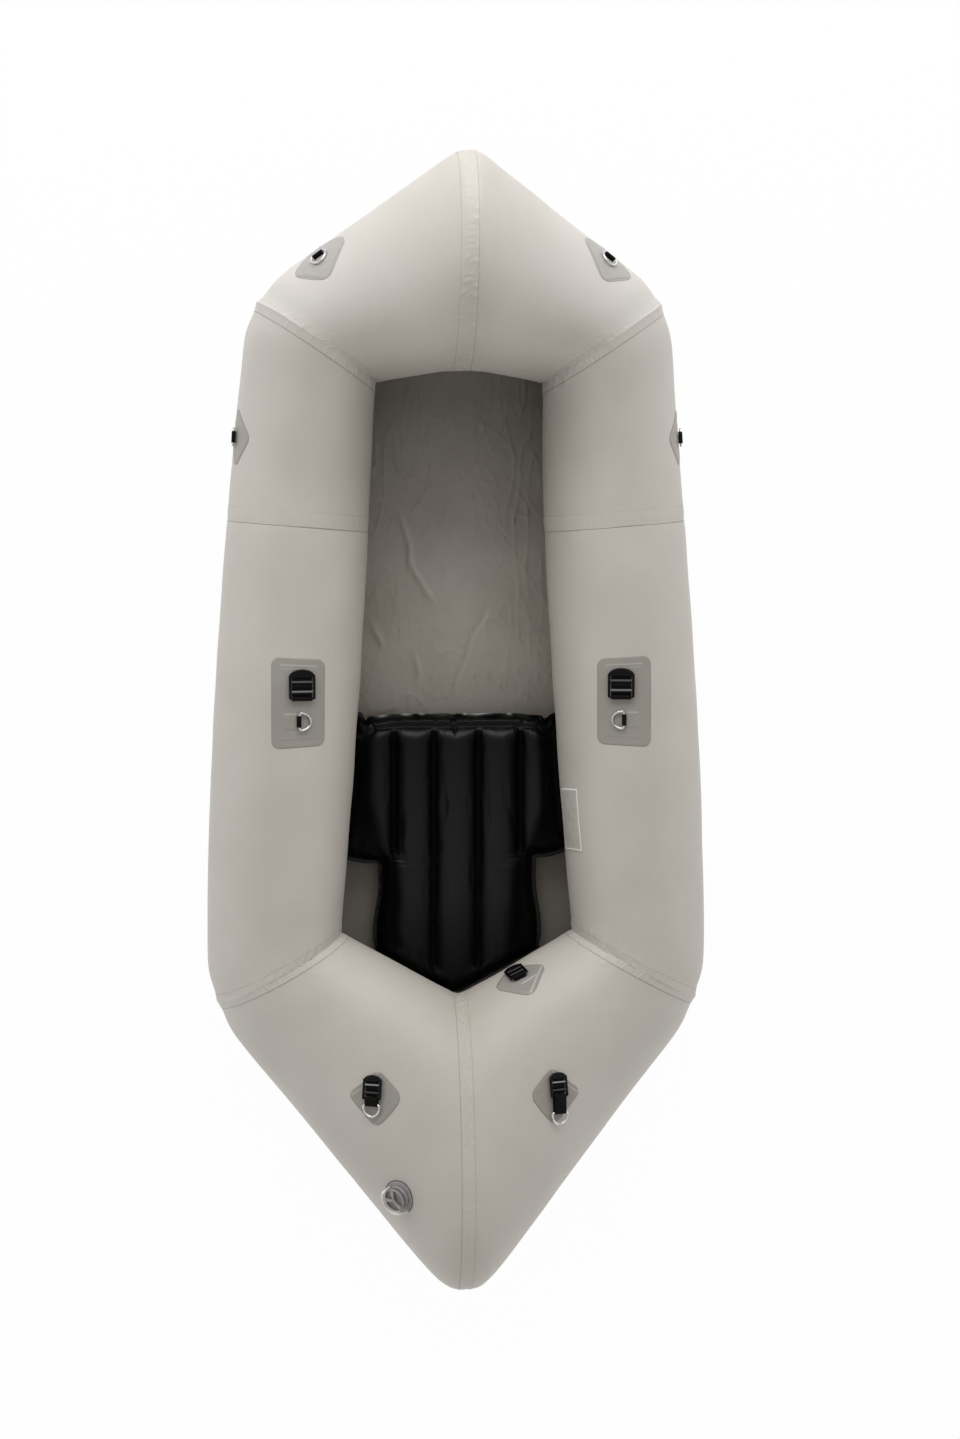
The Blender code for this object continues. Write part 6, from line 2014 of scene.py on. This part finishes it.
@dataclass
class MainValve:
    """The inflation valve on the left stern tube."""

    share: float = 0.714
    lean: float = 52.4
    flange_diameter: float = 0.065
    flange_thickness: float = 0.0012
    rim_diameter: float = 0.046
    rim_height: float = 0.007
    bore: float = 0.031
    body_diameter: float = 0.038
    body_depth: float = 0.030
    guide_depth: float = 0.016
    guide_thickness: float = 0.003
    guide_bore: float = 0.0064
    cap_diameter: float = 0.044
    seal_wire: float = 0.0022
    skirt: float = 0.003
    grip_height: float = 0.0045
    gap: float = 0.0003
    tether_level: float = 0.0168
    tether_thickness: float = 0.0034
    sides: int = 180
    flange_grid: tuple[int, int] = (28, 120)

    def place(self) -> Place:
        """The valve's axis, from the joint of its cap."""
        origin, z = joint_of("valve_cap")
        normal = SkinPlace(PANELS[Area.STERN, Side.LEFT], self.share, self.lean, (0, 1)).normal()
        if np.dot(z, normal) < 0:
            z = -z
        y = unit(Y_AXIS - z * np.dot(Y_AXIS, z))
        return Place(origin, np.cross(y, z), y, z)

    def build_flange(self) -> Piece:
        """The welded flange: rings of points on the skin, with a groove inside its edge."""
        panel = PANELS[Area.STERN, Side.LEFT]
        place = SkinPlace(panel, self.share, self.lean, Patches.heading(panel, self.share))
        rows, sides = self.flange_grid
        radii = np.linspace(self.flange_diameter / 2, self.body_diameter / 2 + 0.0004, rows)[:, None]
        turns = (WHOLE * np.arange(sides) / sides)[None, :]
        inset = self.flange_diameter / 2 - radii
        groove = -0.0005 * hump(inset - 0.003, 0.0008)
        edge = -0.0005 * np.clip(1 - inset / 0.0012, 0, 1)
        lift = np.broadcast_to(0.0002 + self.flange_thickness + groove + edge, self.flange_grid)
        grid = place.locate(radii * np.cos(turns), radii * np.sin(turns), lift)
        shell = grid_shell(grid, wrap_columns=True).facing(place.normal())
        flange = object_of("valve_flange_disc", shell, Slot.VALVE)
        # Painted shadow: a strong dark line just inside the edge, where the gap under it is shaded, a faint
        # dark line further in, and the rest a little paler than the valve plastic.
        line = 0.85 * hump(inset - 0.0010, 0.0011) + 0.20 * hump(inset - 0.0055, 0.0006)
        paint(flange, "tone", np.broadcast_to(0.10 - line, self.flange_grid))
        thicken(flange, self.flange_thickness)
        settle(flange, "hull", "valve_flange")
        return flange

    def build_base(self, place: Place) -> Piece:
        """The moulded body: rim, bore and the guide that carries the stem."""
        rim, body, bore, guide = (self.rim_diameter / 2, self.body_diameter / 2, self.bore / 2,
                                  self.guide_bore / 2)
        profile = np.array([
            (body, -self.body_depth), (body, 0), (rim - 0.0006, 0), (rim, 0.0006),
            (rim, self.rim_height - 0.0012), (rim - 0.0004, self.rim_height - 0.0004),
            (rim - 0.0012, self.rim_height), (bore, self.rim_height), (bore, -self.guide_depth),
            (guide, -self.guide_depth), (guide, -self.guide_depth - self.guide_thickness),
            (bore, -self.guide_depth - self.guide_thickness), (bore, -self.body_depth)])
        return fitted("valve_base_moulding", turned_shell(profile), place, Slot.VALVE, "hull", "valve_base",
                      smooth=30)

    def cap_top(self, r: Array, t: Array, reach: float) -> tuple[Array, Array]:
        """The cap's top over radius and angle: its height, and how raised the rim and spokes are.

        The rim stands round a dish, and three spokes that widen outwards cross the dish.
        """
        spokes = np.zeros(r.shape)
        for heading in SPOKE_HEADINGS:
            along = r * np.cos(t - heading)
            beside = r * np.sin(t - heading)
            width = 0.0028 + 0.10 * np.maximum(along, 0)
            ridge = eased((width + 0.0012 - np.abs(beside)) / 0.0024) * (along > -0.004)
            spokes = np.maximum(spokes, ridge)
        bowl = eased((r - 0.0175) / 0.0025)
        edge = np.clip((r - (reach - 0.0018)) / 0.0018, 0, 1)
        height = self.grip_height * (np.maximum(spokes * 0.93, bowl * 0.80) - 0.72 * edge ** 2)
        return height, np.maximum(spokes, bowl)

    def build_cap(self, place: Place) -> Piece:
        """The screw cap: a dished disc with three raised spokes between three recesses."""
        inner_face = self.rim_height + 2 * self.gap + self.seal_wire
        top = inner_face + self.skirt
        cap = self.cap_diameter / 2
        plug = self.bore / 2 - self.gap
        radii = np.concatenate((np.linspace(0.0001, cap - 0.0012, 46), cap - 0.0012 * (1 - np.sin(
            np.linspace(0.2, QUARTER, 6)))))
        turns = WHOLE * np.arange(self.sides) / self.sides
        r, t = np.meshgrid(radii, turns, indexing="ij")
        height, raised = self.cap_top(r, t, cap)
        grid_top = stacked(r * np.cos(t), r * np.sin(t), top + height)
        wall_levels = ((cap, top + self.grip_height * 0.16), (cap, inner_face + 0.0004),
                       (cap - 0.0006, inner_face), (plug, inner_face),
                       (plug, self.rim_height - 0.004), (0.0001, self.rim_height - 0.004))
        rings = [stacked(radius * np.cos(turns), radius * np.sin(turns), level)
                 for radius, level in wall_levels]
        grid = np.concatenate((grid_top, np.array(rings)))
        shell = grid_shell(grid, wrap_columns=True)
        first_ring = np.arange(self.sides)[None]
        shell.faces += [first_ring[:, ::-1], first_ring + (len(grid) - 1) * self.sides]
        made = fitted("valve_cap_moulding", shell, place, Slot.VALVE, "valve_cap", "valve_cap", smooth=40)
        # Painted shade: the recesses darker, the slopes between them and the spokes and rim darkest, a dark
        # line near the cap's edge, and its side darker.
        tone = 0.06 - 0.42 * (1 - raised) - 0.45 * 4 * raised * (1 - raised) - 0.3 * hump(r - 0.0205, 0.0008)
        paint(made, "tone", np.concatenate((tone.ravel(), np.full(len(shell.points) - tone.size, -0.25))))
        return made

    def build_tether(self, place: Place) -> Piece:
        """The cap's leash: a white strip that stands round the rim, with a lug at each end."""
        node = place.into(node_points("valve_tether"))
        turns = np.sort(np.arctan2(node[:, 1], node[:, 0]))
        breaks = np.diff(np.concatenate((turns, turns[:1] + WHOLE)))
        start = turns[(int(breaks.argmax()) + 1) % len(turns)]
        sweep = WHOLE - float(breaks.max())
        low, high = float(node[:, 2].min()), float(node[:, 2].max())
        share = np.linspace(0, 1, 90)
        angle = start + share * sweep
        risen = eased(share / 0.12) * eased((1 - share) / 0.16)
        radius = self.rim_diameter / 2 + 0.0028 + 0.0046 * eased((share - 0.80) / 0.20)
        height = blend(low + 0.0014, self.tether_level, risen)
        path = stacked(radius * np.cos(angle), radius * np.sin(angle), height)
        outward = stacked(np.cos(angle), np.sin(angle), 0.0)
        section = rounded_section(self.tether_thickness, high - low, 0.0006)
        shell = swept(path, outward, UPWARD, section, False)
        return fitted("valve_tether_strip", shell, place, Slot.TETHER, "hull", "valve_tether", smooth=50)

    def build(self) -> None:
        """Every part of the valve, and finishes for the CAD nodes inside it."""
        place = self.place()
        self.build_flange()
        self.build_base(place)
        self.build_cap(place)
        self.build_tether(place)
        for node, slot in (("valve_plunger", Slot.VALVE), ("valve_spring", Slot.SPRING),
                           ("valve_seal", Slot.SEAL)):
            finish_carried(node, slot)


SPOKE_HEADINGS = (math.radians(92), math.radians(184), math.radians(314))


def finish_carried(node: str, slot: Slot) -> None:
    """Give a carried-over CAD node its slot's material."""
    for material_slot in frame["nodes"][node].material_slots:
        material_slot.material = slot.material()
    LOG.info("%s keeps its solid", node)


# Camera, lights and floor


@dataclass(frozen=True)
class Studio:
    """The photograph's view from above, a low soft sun from the bow, and a pale floor."""

    eye: tuple[float, float, float] = (-0.46, 0.425, 6.14)
    aim: tuple[float, float, float] = (0.044, 0.007, 0.14)
    focal: float = 3178.8
    lamp_place: tuple[float, float, float] = (-0.15, 2.9, 2.0)
    lamp_aim: tuple[float, float, float] = (0.0, 0.5, 0.1)
    lamp_size: tuple[float, float] = (4.4, 1.25)
    lamp_radiance: float = 3.9
    zenith: float = 0.42
    horizon: float = 0.9
    ground_glow: float = 0.97
    ground_half: float = 9.0

    @staticmethod
    def aimed(name: str, data: Any, eye: Any, aim: Any, upright: Any) -> Piece:
        """A camera or lamp at eye that looks down its own -Z at aim."""
        z = unit(np.subtract(eye, aim))
        x = unit(np.cross(upright, z))
        made = bpy.data.objects.new(name, data)
        made.matrix_world = Matrix(np.column_stack((x, np.cross(z, x), z, eye)).tolist() + [[0, 0, 0, 1]])
        bpy.context.scene.collection.objects.link(made)
        return made

    def build_camera(self) -> None:
        """A camera whose long side is the photograph's height."""
        data = bpy.data.cameras.new("photo_camera")
        data.sensor_fit = "AUTO"
        data.sensor_width = SENSOR
        data.lens = self.focal * SENSOR / PHOTO_SIZE[1]
        data.clip_end = 60
        bpy.context.scene.camera = self.aimed("photo_camera", data, self.eye, self.aim, (0, 1, 0))

    def build_lamp(self) -> None:
        """A wide soft box, low before the bow."""
        width, height = self.lamp_size
        data = bpy.data.lights.new("bow_softbox", "AREA")
        data.shape = "RECTANGLE"
        data.size = width
        data.size_y = height
        data.energy = self.lamp_radiance * math.pi * width * height
        self.aimed("bow_softbox", data, self.lamp_place, self.lamp_aim, UPWARD)

    def build_world(self) -> None:
        """A sky that is darker overhead, white where the camera sees it."""
        world = bpy.data.worlds.new("studio_sky")
        bench = NodeBench("studio_sky", world)
        seen = bench.seen_by("Camera", "Transmission")
        _, _, height = bench.parts(bench.place("Generated"))
        strength = self.horizon + (self.zenith - self.horizon) * height.at_least(0)
        sky = bench.node("ShaderNodeBackground", {}, {"Color": (1.0, 0.992, 0.98, 1),
                                                      "Strength": strength})
        white = bench.node("ShaderNodeBackground", {}, {"Color": (1, 1, 1, 1), "Strength": 1.0})
        bench.blended(seen, sky, white)
        bpy.context.scene.world = world

    def build_floor(self) -> None:
        """A wide pale floor that shows white and keeps a faint shadow."""
        bench = NodeBench("studio_floor")
        seen = bench.seen_by("Camera", "Glossy", "Transmission")
        paint = bench.node("ShaderNodeBsdfDiffuse", {}, {"Color": (0.95, 0.945, 0.94, 1)})
        glow = bench.node("ShaderNodeEmission", {}, {"Color": (1, 1, 1, 1), "Strength": 1.0})
        bench.blended(seen * self.ground_glow, paint, glow)
        ticks = np.linspace(-self.ground_half, self.ground_half, 3)
        x, y = np.meshgrid(ticks, ticks, indexing="ij")
        shell = grid_shell(stacked(x, y, -0.0004)).facing(UPWARD)
        ground = bpy.data.objects.new("studio_ground", mesh_of("studio_ground", shell))
        ground.data.materials.append(bench.material)
        bpy.context.scene.collection.objects.link(ground)

    def build(self) -> None:
        """The whole studio."""
        bpy.context.scene.view_settings.view_transform = "Standard"
        self.build_camera()
        self.build_lamp()
        self.build_world()
        self.build_floor()


def main() -> None:
    """Build the boat, dress it and set up the studio."""
    logging.basicConfig(level=logging.INFO, format="%(message)s")
    Studio().build()
    Hull().build()
    Floor().build()
    SeatPad().build()
    Patches().build()
    Fittings().build()
    MainValve().build()
    finish_carried("seat_valve_base", Slot.VALVE)
    finish_carried("seat_valve_knob", Slot.VALVE)


if __name__ == "__main__":
    main()
